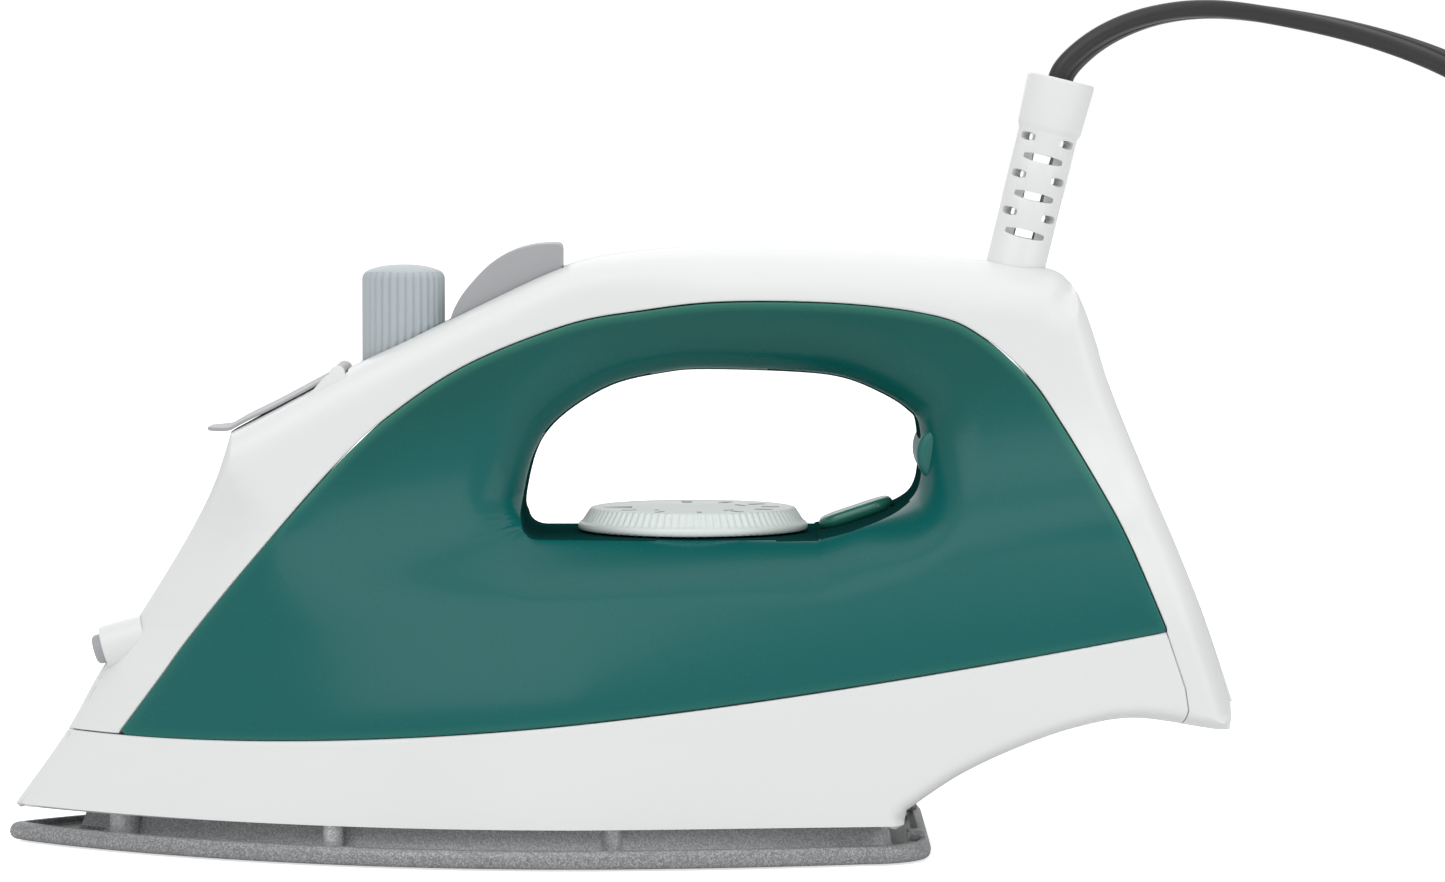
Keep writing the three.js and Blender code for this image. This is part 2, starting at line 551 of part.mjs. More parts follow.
// The pilot lens lies on the slope behind the dial.
const LENS_SLOPE = Math.atan2(Z(74.5) - Z(68.5), X(61.9) - X(44));
const LENS_AT = [X(53.2), 0, Z(71.35)];
const LENS_NORMAL = [-Math.sin(LENS_SLOPE), 0, Math.cos(LENS_SLOPE)];
function pill(length, width, z0, z1) {
  const shape = new THREE.Shape();
  const r = width / 2;
  const half = length / 2 - r;
  shape.absarc(half, 0, r, -Math.PI / 2, Math.PI / 2);
  shape.absarc(-half, 0, r, Math.PI / 2, 1.5 * Math.PI);
  const geometry = new THREE.ExtrudeGeometry(shape, { depth: z1 - z0, bevelEnabled: false, curveSegments: 8 });
  return aim(geometry.translate(0, 0, z0), LENS_AT, LENS_NORMAL);
}

const CAP_Z = Z(86);
const CAP_X = OPENING_GRIP[11][0];
const handleScrewX = X(62);
const funnelOuter = 13;
const tankInside = innerBody.intersect(solid(tankRegion(GAP / 2 + WALL, 12)));
place('water_tank', largest(cut(outerBody.intersect(solid(tankRegion(GAP / 2))).subtract(tankInside),
  rodZ(DIAL_X, 0, DECK_Z - 8, DECK_Z + 4, sleeveOuter + 2 * GAP),
  rodZ(KNOB_X, 0, tankTopZ(KNOB_X) - 12, tankTopZ(KNOB_X) + 12, 7 + 2 * GAP, 16),
  rodZ(PUMP_X, 0, tankTopZ(PUMP_X) - 8, tankTopZ(PUMP_X) + 8, BARREL_DIAMETER + 2 * GAP),
  rodZ(FILL_X, 0, Z(50), Z(90), funnelOuter + 2 * GAP),
  rodZ(handleScrewX, 0, tankTopZ(handleScrewX) - 5, tankTopZ(handleScrewX) + 2, SCREW_SHANK + 2 * GAP, 10),
  rodX(CAP_X - 3, CAP_X + 6, 0, CAP_Z, 6.4 + 2 * GAP, 14), pill(17.6, 10.6, -0.8, 6),
  pill(LAMP_DIAMETER + 1.6, LAMP_DIAMETER + 1, -6, 4))), TANK);

function heelOutline(shift) {
  const points = [[133.5, 33.6], [127.8, 51.2], [121.9, 66.5], [116.1, 80.2], [109.5, 96.5], [105.3, 108]];
  return points.map(([x, z]) => [X(x) + shift, Z(z)]);
}
function heelPlan(gap, depth) {
  const outline = heelOutline(0);
  const [foot, head] = [outline[0][1] - gap, outline.at(-1)[1] + gap];
  const shape = new THREE.Shape([[-30 - gap, foot], [30 + gap, foot], [11 + gap, head], [-11 - gap, head]]
    .map(([y, z]) => new THREE.Vector2(y, z)));
  const geometry = new THREE.ExtrudeGeometry(shape, { depth, bevelEnabled: false });
  return geometry.rotateX(Math.PI / 2).rotateZ(Math.PI / 2);
}
const heelWindow = (gap) => heelPlan(gap, LENGTH).translate(X(60), 0, 0);
const HEEL_SCREW = [(heelOutline(0)[2][0] + heelOutline(0)[3][0]) / 2, 0,
  (heelOutline(0)[2][1] + heelOutline(0)[3][1]) / 2];
const heelRise = [heelOutline(0)[3][0] - heelOutline(0)[2][0], heelOutline(0)[3][1] - heelOutline(0)[2][1]];
const HEEL_NORMAL = [heelRise[1], 0, -heelRise[0]];
place('heel_plate', cut(solid(sidePrism([...heelOutline(0), ...heelOutline(-3).reverse()], 40))
  .intersect(solid(heelWindow(0))),
aim(rodZ(0, 0, -1.8, 4, SCREW_HEAD + 2 * GAP), HEEL_SCREW, HEEL_NORMAL),
aim(rodZ(0, 0, -8, 4, SCREW_SHANK + 2 * GAP, 10), HEEL_SCREW, HEEL_NORMAL)), WHITE);
aim(place('heel_plate_screw', screw(8), STEEL), HEEL_SCREW, HEEL_NORMAL).translateZ(-1.5);

const knobHole = KNOB_DIAMETER + 0.9;
const guardAxis = [Math.sin(GUARD_LEAN), 0, Math.cos(GUARD_LEAN)];
const LUG_Y = [12, 14.2];
function hingeLug(side) {
  const [y0, y1] = side > 0 ? LUG_Y : [-LUG_Y[1], -LUG_Y[0]];
  return [rodY(y0, y1, HINGE[0], HINGE[1], 3.4), box(HINGE[0] - 1.6, HINGE[0] + 1.6, y0, y1, HINGE[1] - 3.6, HINGE[1])];
}
const upperParts = skin.subtract(solid(tankRegion(-GAP / 2))).subtract(solid(skirtRegion(-GAP / 2)));
place('upper_shell', largest(cut(upperParts.add(join(...hingeLug(1))).add(join(...hingeLug(-1)))
  .add(solid(alongNozzle(rodZ(0, 0, -7, 3.6, NOZZLE_DIAMETER + 3, 20)))),
rodZ(KNOB_X, 0, Z(96), Z(140), knobHole, 28),
rodZ(FILL_X, 0, Z(80), Z(130), 17),
box(BUTTON_X[0] - 0.4, BUTTON_X[1] + 0.4, -BUTTON_WIDTH / 2 - 0.4, BUTTON_WIDTH / 2 + 0.4, Z(100), Z(140)),
alongNozzle(rodZ(0, 0, -12, 8, NOZZLE_DIAMETER + 2 * GAP, 16)),
box(HINGE[0] - 2.2, HINGE[0] + 2.2, -LUG_Y[0], LUG_Y[0], HINGE[1] - 4, HINGE[1] + 4),
rodY(-20, 20, HINGE[0], HINGE[1], PIN_DIAMETER + 2 * GAP, 10),
aim(rodZ(0, 0, -8, 8, GUARD_DIAMETER + 2 * GAP), GUARD_BASE, guardAxis),
heelWindow(GAP))), WHITE);

place('handle_screw', screw(7), STEEL).position.set(handleScrewX, 0, tankTopZ(handleScrewX) + 0.9);
place('handle_screw_cap', join(rodX(CAP_X - 2, CAP_X - 0.7, 0, CAP_Z, 10, 20),
  rodX(CAP_X - 1, CAP_X + 2.4, 0, CAP_Z, 6.4, 14)), TANK);

// ---- lamp ----------------------------------------------------------------------------------
place('pilot_light_lens', pill(17, 10, -0.5, 2.6), LENS);
place('pilot_lamp', aim(rodZ(0, 0, -9, -0.9, LAMP_DIAMETER, 12), LENS_AT, LENS_NORMAL), LENS);
place('lamp_socket', aim(lathe([[0, -12], [LAMP_DIAMETER / 2 + 1.5, -12], [LAMP_DIAMETER / 2 + 1.5, -3.4],
  [LAMP_DIAMETER / 2 + GAP, -3.4], [LAMP_DIAMETER / 2 + GAP, -10], [0, -10]], 16), LENS_AT, LENS_NORMAL), NATURAL);

// ---- water, spray and steam -------------------------------------------------------------------
const PUMP_TOP = topZ(PUMP_X) - 6.8;
const PUMP_FOOT = PUMP_TOP - 20;
const pumpBore = PISTON_DIAMETER + 2 * GAP;
place('pump_barrel', lathe([[0.8, PUMP_FOOT], [BARREL_DIAMETER / 2, PUMP_FOOT], [BARREL_DIAMETER / 2, PUMP_TOP],
  [pumpBore / 2, PUMP_TOP], [pumpBore / 2, PUMP_FOOT + 2], [0.8, PUMP_FOOT + 2], [0.8, PUMP_FOOT]])
  .translate(PUMP_X, 0, 0), NATURAL);
place('pump_inlet_tube', wire([[PUMP_X, 0, PUMP_FOOT - 0.8], [X(-27), 0, Z(83)], [X(-30), 0, Z(62)],
  [X(-32), 0, seamZ(X(-32)) + 5]], TUBE_DIAMETER, 8), NATURAL);

function sprayButton(inset) {
  const [x0, x1] = [BUTTON_X[0] + inset, BUTTON_X[1] - inset];
  const skirt = 2.2 + 3 * inset;
  const crown = [[X(-35.4), Z(117)], [X(-31), Z(123)], [X(-26.6), Z(128)], [X(-22), Z(131)], [X(-18), Z(131.8)],
    [X(-13), Z(131.7)]].map(([x, z]) => [Math.max(x + inset, x0), z - 1.2 * inset]);
  return sidePrism([[x0, topZ(x0) - skirt], [x1, topZ(x1) - skirt], [x1, Z(130.6) - inset], ...crown.reverse()],
    BUTTON_WIDTH / 2 - inset);
}
place('spray_button', solid(sprayButton(0)).subtract(solid(sprayButton(1.6))), GREY);
const CEILING = topZ(PUMP_X) + 2.2;
place('pump_piston', rodZ(PUMP_X, 0, PUMP_FOOT + BUTTON_TRAVEL + 3, CEILING, PISTON_DIAMETER), NATURAL);

class Helix extends THREE.Curve {
  constructor(radius, turns, z0, z1) {
    super();
    Object.assign(this, { radius, turns, z0, z1 });
  }

  getPoint(t, target = new THREE.Vector3()) {
    const a = 2 * Math.PI * this.turns * t;
    return target.set(this.radius * Math.cos(a), this.radius * Math.sin(a), this.z0 + (this.z1 - this.z0) * t);
  }
}
const springWire = new THREE.Shape();
springWire.absarc(0, 0, 0.35, 0, 2 * Math.PI);
place('pump_spring', new THREE.ExtrudeGeometry(springWire, {
  steps: 30, curveSegments: 3, extrudePath: new Helix(PISTON_DIAMETER / 2 + 1.2, 3, PUMP_TOP + 0.8, CEILING - 1.6),
}).translate(PUMP_X, 0, 0), STEEL);

const sprayStart = [PUMP_X, BARREL_DIAMETER / 2 + GAP + 1.2, PUMP_TOP - 2.8];
place('spray_tube', wire([sprayStart, [X(-29), 9.6, PUMP_TOP - BUTTON_TRAVEL - 0.6], [X(-37), 11.6, Z(106.4)],
  [X(-47), 11.6, Z(101)],
  [X(-58), 10.6, Z(93)], [X(-70), 9.8, Z(82)], [X(-79), 7.6, Z(74)], [X(-86.5), 4, Z(63.5)], [X(-94.6), 1, Z(52.6)],
  behindNozzle(11), behindNozzle(6.8)], TUBE_DIAMETER, 22), NATURAL);
place('spray_nozzle', alongNozzle(lathe([[0.5, -3.6], [NOZZLE_DIAMETER / 2, -3.6], [NOZZLE_DIAMETER / 2, 5.2],
  [NOZZLE_DIAMETER / 2 - 0.6, 5.8], [0.5, 5.8], [0.5, -3.6]], 16)), GREY);

const knobFoot = tankTopZ(KNOB_X + KNOB_DIAMETER / 2) + 1.4;
place('valve_guide', tubeZ(7, ROD_DIAMETER + 2 * GAP, tankTopZ(KNOB_X) - 9, knobFoot - 0.6, 16)
  .translate(KNOB_X, 0, 0), NATURAL);
place('drip_valve_seat', tubeZ(seatOuter, ROD_DIAMETER + 2 * GAP, seamZ(KNOB_X) - 5, seamZ(KNOB_X) + 4, 16)
  .translate(KNOB_X, 0, 0), BRASS);
place('steam_valve_rod', rodZ(KNOB_X, 0, seamZ(KNOB_X) - 1, knobFoot + 3, ROD_DIAMETER, 12), STEEL);

function flutedRing(diameter, z, flutes, depth) {
  return Array.from({ length: 2 * flutes }, (_, i) => {
    const r = diameter / 2 - (i % 2 ? depth : 0);
    const a = Math.PI * i / flutes;
    return [r * Math.cos(a), r * Math.sin(a), z];
  });
}
const knob = loft([flutedRing(KNOB_DIAMETER, knobFoot, 26, 0.5), flutedRing(KNOB_DIAMETER, KNOB_TOP - 2.2, 26, 0.5),
  flutedRing(KNOB_DIAMETER - 1.6, KNOB_TOP - 0.5, 26, 0.2), flutedRing(KNOB_DIAMETER - 5, KNOB_TOP, 26, 0.1)]);
place('steam_knob', cut(solid(knob), rodZ(0, 0, knobFoot - 2, knobFoot + 8, ROD_DIAMETER + 2 * GAP, 12)), GREY_BLUE)
  .position.set(KNOB_X, 0, 0);

const funnelTop = topZ(FILL_X) - 6;
place('fill_port_seal', tubeZ(funnelOuter, funnelOuter - 3, tankTopZ(FILL_X) - 9, funnelTop, 20)
  .translate(FILL_X, 0, 0), SEAL);

// Fill lid, on a pin at its rear end.
const lidLine = (x) => topZ(HINGE[0]) + (x - HINGE[0]) * (Z(105.5) - Z(90.5)) / (X(-56.2) - X(-84.3));
const lidTip = X(-89.6);
const lidBend = X(-84.6);
const lidRear = HINGE[0] + 0.2;
const lidSide = [[lidTip, lidLine(lidBend) + 0.3], [lidBend, lidLine(lidBend) + 0.4], [lidRear, lidLine(lidRear) + 0.4],
  [lidRear, lidLine(lidRear) + 0.4 + LID_THICKNESS], [lidBend, lidLine(lidBend) + 0.4 + LID_THICKNESS],
  [lidTip, lidLine(lidBend) + 1.4]];
const lidPlan = [[lidTip, -4], [lidTip + 3, -8], [lidBend + 3, -11], [lidBend + 10, LUG_Y[0] * -1 + GAP],
  [HINGE[0] + 3, -LUG_Y[0] + GAP], [HINGE[0] + 3, LUG_Y[0] - GAP], [lidBend + 10, LUG_Y[0] - GAP],
  [lidBend + 3, 11], [lidTip + 3, 8], [lidTip, 4]];
place('fill_cover', solid(sidePrism(lidSide, 20)).intersect(solid(planPrism(lidPlan, Z(60), Z(140))))
  .add(solid(rodY(-LUG_Y[0] + GAP, LUG_Y[0] - GAP, HINGE[0], HINGE[1], 3.2)))
  .subtract(solid(rodY(-30, 30, HINGE[0], HINGE[1], PIN_DIAMETER + 2 * GAP, 10))), GREY);
place('lid_hinge_pin', rodY(-LUG_Y[1], LUG_Y[1], HINGE[0], HINGE[1], PIN_DIAMETER, 10), STEEL);

// ---- heat control ---------------------------------------------------------------------------------
const dialFoot = DECK_Z + 0.35;
const dialTop = dialFoot + DIAL_HEIGHT;
place('temperature_dial', loft([flutedRing(DIAL_DIAMETER - 1.6, dialFoot, 24, 0.1),
  flutedRing(DIAL_DIAMETER, dialFoot + 1, 24, 0.6), flutedRing(DIAL_DIAMETER, dialTop - 1.2, 24, 0.6),
  flutedRing(DIAL_DIAMETER - 2.4, dialTop, 24, 0.1)]), PALE_MINT).position.set(DIAL_X, 0, 0);
place('dial_shaft', rodZ(DIAL_X, 0, SHAFT_END, dialFoot - GAP, SHAFT_DIAMETER, 16), STEEL);
place('dial_sleeve', tubeZ(sleeveOuter, SHAFT_DIAMETER + 2 * GAP, sleeveFoot, DECK_Z - 0.1, 20)
  .translate(DIAL_X, 0, 0), NATURAL);

// ---- cord entry and wiring ---------------------------------------------------------------------------
const LEAD_BORE = LEAD_WIDTH + 1.2;
const COLLAR = 11;
const SLOT_PITCH = 4.2;
function cordGuard() {
  const sleeve = solid(lathe([[LEAD_BORE / 2, -7], [7.5, -7], [7.5, -5], [GUARD_DIAMETER / 2, -5],
    [GUARD_DIAMETER / 2, GUARD_LENGTH - COLLAR - 1], [GUARD_COLLAR_DIAMETER / 2, GUARD_LENGTH - COLLAR + 1],
    [GUARD_COLLAR_DIAMETER / 2, GUARD_LENGTH - 1], [GUARD_COLLAR_DIAMETER / 2 - 1, GUARD_LENGTH],
    [LEAD_BORE / 2, GUARD_LENGTH], [LEAD_BORE / 2, -7]], 12));
  const slots = Array.from({ length: 6 }, (_, row) => [-1, 1].map((side) => {
    const z = GUARD_LENGTH - COLLAR - 2.8 - SLOT_PITCH * row;
    const slot = box(3, 9, -3.2, 3.2, z - 0.95, z + 0.95);
    return slot.rotateZ((row % 2 ? Math.PI / 2 : 0) + (side > 0 ? Math.PI : 0));
  })).flat();
  return cut(sleeve, ...slots);
}
aim(place('cord_guard', cordGuard(), WHITE), GUARD_BASE, guardAxis);
const onGuard = (z, y = 0) => [GUARD_BASE[0] + guardAxis[0] * z, y, GUARD_BASE[2] + guardAxis[2] * z];
const CLAMP_Z = [-12.4, -8.4];
const CORE_Y = 2.2;
aim(place('cord_clamp', cut(join(box(-3.4, 4, -8, 8, ...CLAMP_Z)),
  rodY(4.4, 12, 0, -10.4, SCREW_SHANK + 2 * GAP, 10), rodZ(0, CORE_Y, -20, 0, WIRE_DIAMETER + 1.2, 10),
  rodZ(0, -CORE_Y, -20, 0, WIRE_DIAMETER + 1.2, 10)), NATURAL), GUARD_BASE, guardAxis);
aim(place('cord_clamp_screw', screw(3.4), STEEL), onGuard(-10.4, 8 + GAP), [0, 1, 0]);
const BLOCK = { x0: X(107), x1: X(117), half: 10, z0: Z(29) + 5, z1: Z(29) + 13 };
place('terminal_block', box(BLOCK.x0, BLOCK.x1, -BLOCK.half, BLOCK.half, BLOCK.z0, BLOCK.z1), NATURAL);
for (const [wireName, leadName, side] of [['live_wire', 'element_lead_left', 1],
  ['neutral_wire', 'element_lead_right', -1]]) {
  place(wireName, wire([onGuard(-5, CORE_Y * side), onGuard(-9, CORE_Y * side), onGuard(-14, CORE_Y * side),
    [X(94), 3 * side, Z(108.5)],
    [X(103.2), 3 * side, Z(95)], [X(110.6), 3 * side, Z(80)], [X(116), 3 * side, Z(67.5)], [X(120.5), 3 * side, Z(55)],
    [X(121), 3 * side, Z(46)], [BLOCK.x1 + 1.4, 3 * side, BLOCK.z0 + 4]], WIRE_DIAMETER, 18, 6), BLACK);
  const [tabX, tabY, tabZ] = ELEMENT_PATH[0];
  place(leadName, wire([[BLOCK.x0 - 0.9, 6 * side, BLOCK.z0 + 4], [X(95), 10 * side, BLOCK.z0 - 0.4],
    [X(80), 19 * side, Z(27.2)], [tabX + 9, tabY * side, tabZ + 5], [tabX + 3.6, tabY * side, tabZ + 4.6]],
  WIRE_DIAMETER, 14, 6), BLACK);
}

// ---- mains lead, plug and tie: flat twin lead, 2.15 m long ---------------------------------------------
const COIL_AT = [245, 0];
const COIL_FOOT = 1.4;
const coilRadius = COIL_MEAN_DIAMETER / 2;
const leadRoute = [onGuard(GUARD_LENGTH - 3), onGuard(GUARD_LENGTH + 1.4), [103, 0, 174.2], [110, 0, 178.6],
  [119.5, 0, 181.8], [131.3, 0, 182.9], [150.4, 0, 180.4], [168, 0, 176.2], [183, -0.6, 170.6], [197, -3, 162.6],
  [209, -8.4, 151], [218, -16, 134], [224.4, -24.4, 112], [228, -32, 87], [230.6, -37.6, 62], [235, -40.6, 41],
  [243.6, -41.6, 27], [254, -40.4, 21.4]];
const leadSection = new THREE.Shape();
leadSection.absellipse(0, 0, LEAD_WIDTH / 2, LEAD_THICKNESS / 2, 0, 2 * Math.PI);
const leadTube = (points, steps) => new THREE.ExtrudeGeometry(leadSection, {
  steps, curveSegments: 4,
  extrudePath: new THREE.CatmullRomCurve3(points.map((p) => new THREE.Vector3(...p)), false, 'centripetal'),
});
place('mains_lead', leadTube(leadRoute, 34), BLACK);
place('lead_coil', lathe([[coilRadius - COIL_BAND / 2, COIL_FOOT], [coilRadius + COIL_BAND / 2, COIL_FOOT],
  [coilRadius + COIL_BAND / 2, COIL_FOOT + COIL_HEIGHT], [coilRadius - COIL_BAND / 2, COIL_FOOT + COIL_HEIGHT],
  [coilRadius - COIL_BAND / 2, COIL_FOOT]], 40).translate(...COIL_AT, 0), BLACK);
const PLUG_X = 199.5;
const PLUG_Y = [-34, -62];
const PLUG_Z = 9.6;
place('plug_lead', leadTube([[201.6, -23, 4], [200.2, -28, 6.4], [PLUG_X, PLUG_Y[0] + 1, PLUG_Z]], 3), BLACK);
const plugRing = (width, height, y) => Array.from({ length: 16 }, (_, i) => {
  const a = 2 * Math.PI * (i + 0.5) / 16;
  const round = (v) => Math.sign(v) * Math.abs(v) ** 0.5;
  return [width / 2 * round(Math.cos(a)), height / 2 * round(Math.sin(a)), y];
});
const plugLength = PLUG_Y[0] - PLUG_Y[1];
place('plug_body', loft([plugRing(9, 7.6, 0), plugRing(10, 8.6, 9), plugRing(20, 14, 12.5), plugRing(23, 16.6, 18),
  plugRing(24, 17.4, plugLength - 1), plugRing(23, 16.6, plugLength)]).rotateX(Math.PI / 2)
  .translate(PLUG_X, PLUG_Y[0], PLUG_Z), BLACK);
for (const [name, side] of [['plug_blade_left', 1], ['plug_blade_right', -1]]) {
  place(name, box(PLUG_X + side * 6.35 - 0.8, PLUG_X + side * 6.35 + 0.8, PLUG_Y[1] - 16, PLUG_Y[1] - GAP,
    PLUG_Z - 3.2, PLUG_Z + 3.2), BRASS);
}
const TIE_WIDTH = 8;
const TIE_ANGLE = THREE.MathUtils.degToRad(50);
const tieHalf = COIL_BAND / 2 + 0.7;
place('coil_tie', solid(box(-tieHalf - 0.8, tieHalf + 0.8, -TIE_WIDTH / 2, TIE_WIDTH / 2, 0.2,
  COIL_FOOT + COIL_HEIGHT + 1.2)).subtract(solid(box(-tieHalf, tieHalf, -TIE_WIDTH, TIE_WIDTH, COIL_FOOT - GAP - 0.1,
  COIL_FOOT + COIL_HEIGHT + 0.4))), SEAL).rotation.z = TIE_ANGLE;
iron.children.at(-1).position.set(COIL_AT[0] + coilRadius * Math.cos(TIE_ANGLE),
  COIL_AT[1] + coilRadius * Math.sin(TIE_ANGLE), 0);

export default iron;
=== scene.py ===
"""Surface model of a household steam iron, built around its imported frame.

Metres, +Z up. The nose points to -X, the heel to +X, and the soleplate's face is at z = 0.
"""

import json
import logging
import math
from collections.abc import Callable, Sequence
from dataclasses import dataclass, field
from enum import Enum

import bmesh
import bpy
import numpy as np
from mathutils import Matrix, Vector


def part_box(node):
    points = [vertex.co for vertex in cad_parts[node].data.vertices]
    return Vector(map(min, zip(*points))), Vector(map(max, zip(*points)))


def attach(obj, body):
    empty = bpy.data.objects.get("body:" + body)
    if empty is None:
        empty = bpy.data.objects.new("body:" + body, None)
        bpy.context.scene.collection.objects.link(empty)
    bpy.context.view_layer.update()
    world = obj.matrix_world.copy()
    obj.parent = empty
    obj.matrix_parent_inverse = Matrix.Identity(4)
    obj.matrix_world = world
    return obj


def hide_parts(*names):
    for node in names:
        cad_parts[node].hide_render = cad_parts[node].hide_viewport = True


MM = 0.001
LOG = logging.getLogger("iron")
Colour = tuple[float, float, float, float]
Chain = np.ndarray
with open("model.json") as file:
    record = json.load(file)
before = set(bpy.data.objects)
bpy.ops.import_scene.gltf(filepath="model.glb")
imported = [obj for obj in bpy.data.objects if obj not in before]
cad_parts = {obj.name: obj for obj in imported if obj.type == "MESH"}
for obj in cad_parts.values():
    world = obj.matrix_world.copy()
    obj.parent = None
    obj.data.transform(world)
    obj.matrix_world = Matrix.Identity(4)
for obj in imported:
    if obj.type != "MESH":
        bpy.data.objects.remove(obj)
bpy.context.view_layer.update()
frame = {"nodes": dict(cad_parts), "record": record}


def tone(red: int, green: int, blue: int) -> Colour:
    """Returns the linear colour of an 8-bit sRGB tone."""
    linear = [((c / 255 + 0.055) / 1.055) ** 2.4 if c > 10 else c / 255 / 12.92 for c in (red, green, blue)]
    return (linear[0], linear[1], linear[2], 1.0)


class Body(str, Enum):
    """The frame's moving bodies."""

    HOUSING = "body"
    DIAL = "dial"
    KNOB = "knob"
    BUTTON = "spray_button"
    LID = "fill_cover"


# ---- shader groups -----------------------------------------------------------------------------


class GroupBuilder:
    """Builds one shader node group with named inputs and outputs."""

    def __init__(self, name: str, inputs: dict[str, object], outputs: dict[str, str]) -> None:
        """Makes the empty group.

        Args:
            name: The group's name.
            inputs: Default value of each input, a number or a colour.
            outputs: Socket type of each output.
        """
        self.tree = bpy.data.node_groups.new(name, "ShaderNodeTree")
        for label, value in inputs.items():
            kind = "NodeSocketColor" if isinstance(value, tuple) else "NodeSocketFloat"
            self.tree.interface.new_socket(label, in_out="INPUT", socket_type=kind).default_value = value
        for label, kind in outputs.items():
            self.tree.interface.new_socket(label, in_out="OUTPUT", socket_type=kind)
        self.inp = self.tree.nodes.new("NodeGroupInput")
        self.out = self.tree.nodes.new("NodeGroupOutput")
        self.place = self.node("ShaderNodeTexCoord").outputs["Object"]

    def node(self, kind: str, **settings: object) -> bpy.types.Node:
        """Adds a node and sets its properties."""
        made = self.tree.nodes.new(kind)
        for key, value in settings.items():
            setattr(made, key, value)
        return made

    def link(self, source: bpy.types.NodeSocket, target: bpy.types.NodeSocket) -> None:
        """Joins two sockets."""
        self.tree.links.new(source, target)

    def noise(self, scale: object, detail: float, roughness: float = 0.5) -> bpy.types.NodeSocket:
        """Adds noise over the surface.

        Args:
            scale: A number, or a socket that holds it.
            detail: Octaves of the noise.
            roughness: Weight of the finer octaves.

        Returns:
            The noise's value socket.
        """
        made = self.node("ShaderNodeTexNoise")
        made.inputs["Detail"].default_value = detail
        made.inputs["Roughness"].default_value = roughness
        self.link(self.place, made.inputs["Vector"])
        if isinstance(scale, bpy.types.NodeSocket):
            self.link(scale, made.inputs["Scale"])
        else:
            made.inputs["Scale"].default_value = scale
        return made.outputs["Fac"]

    def ramp(self, value: bpy.types.NodeSocket, low: float, high: float, to_low: object = 0.0,
             to_high: object = 1.0) -> bpy.types.NodeSocket:
        """Maps a value from one range to another, whose ends are numbers or sockets."""
        made = self.node("ShaderNodeMapRange")
        self.link(value, made.inputs["Value"])
        made.inputs["From Min"].default_value = low
        made.inputs["From Max"].default_value = high
        for end, wanted in (("To Min", to_low), ("To Max", to_high)):
            if isinstance(wanted, bpy.types.NodeSocket):
                self.link(wanted, made.inputs[end])
            else:
                made.inputs[end].default_value = wanted
        return made.outputs["Result"]

    def mix(self, factor: bpy.types.NodeSocket, first: bpy.types.NodeSocket,
            second: bpy.types.NodeSocket) -> bpy.types.NodeSocket:
        """Mixes two colours by a factor."""
        made = self.node("ShaderNodeMix", data_type="RGBA")
        self.link(factor, made.inputs[0])
        self.link(first, made.inputs[6])
        self.link(second, made.inputs[7])
        return made.outputs[2]

    def maths(self, operation: str, first: object, second: object) -> bpy.types.NodeSocket:
        """Adds a math node on two numbers or sockets."""
        made = self.node("ShaderNodeMath", operation=operation)
        for index, value in enumerate((first, second)):
            if isinstance(value, bpy.types.NodeSocket):
                self.link(value, made.inputs[index])
            else:
                made.inputs[index].default_value = value
        return made.outputs["Value"]


def moulding_group() -> bpy.types.NodeTree:
    """Builds the group for moulded plastic: slow colour drift, handling marks and fine grain."""
    build = GroupBuilder("Moulded surface", {
        "Colour": (0.8, 0.8, 0.8, 1.0), "Shade": (0.7, 0.7, 0.7, 1.0), "Drift scale": 18.0,
        "Smooth": 0.25, "Rubbed": 0.4, "Grain scale": 2500.0}, {
        "Colour": "NodeSocketColor", "Roughness": "NodeSocketFloat", "Height": "NodeSocketFloat"})
    drift = build.ramp(build.noise(build.inp.outputs["Drift scale"], 3), 0.35, 0.7)
    build.link(build.mix(drift, build.inp.outputs["Colour"], build.inp.outputs["Shade"]), build.out.inputs["Colour"])
    rubs = build.ramp(build.noise(55, 6, 0.65), 0.35, 0.7, build.inp.outputs["Smooth"], build.inp.outputs["Rubbed"])
    build.link(rubs, build.out.inputs["Roughness"])
    build.link(build.noise(build.inp.outputs["Grain scale"], 2), build.out.inputs["Height"])
    return build.tree


def speckle_group() -> bpy.types.NodeTree:
    """Builds the group for a sprayed, speckled coating: flecks of two tones and a pebbled height."""
    build = GroupBuilder("Sprayed speckle", {
        "Colour": (0.2, 0.2, 0.2, 1.0), "Dark fleck": (0.05, 0.05, 0.05, 1.0),
        "Light fleck": (0.6, 0.6, 0.6, 1.0), "Scale": 1400.0}, {
        "Colour": "NodeSocketColor", "Roughness": "NodeSocketFloat", "Height": "NodeSocketFloat"})
    cells = build.node("ShaderNodeTexVoronoi")
    build.link(build.place, cells.inputs["Vector"])
    build.link(build.inp.outputs["Scale"], cells.inputs["Scale"])
    pick = build.node("ShaderNodeSeparateColor")
    build.link(cells.outputs["Color"], pick.inputs[0])
    dark = build.mix(build.ramp(pick.outputs[0], 0.5, 0.62), build.inp.outputs["Colour"],
                     build.inp.outputs["Dark fleck"])
    light = build.mix(build.ramp(pick.outputs[1], 0.72, 0.8), dark, build.inp.outputs["Light fleck"])
    build.link(light, build.out.inputs["Colour"])
    build.link(build.ramp(pick.outputs[2], 0.0, 1.0, 0.28, 0.5), build.out.inputs["Roughness"])
    build.link(cells.outputs["Distance"], build.out.inputs["Height"])
    return build.tree


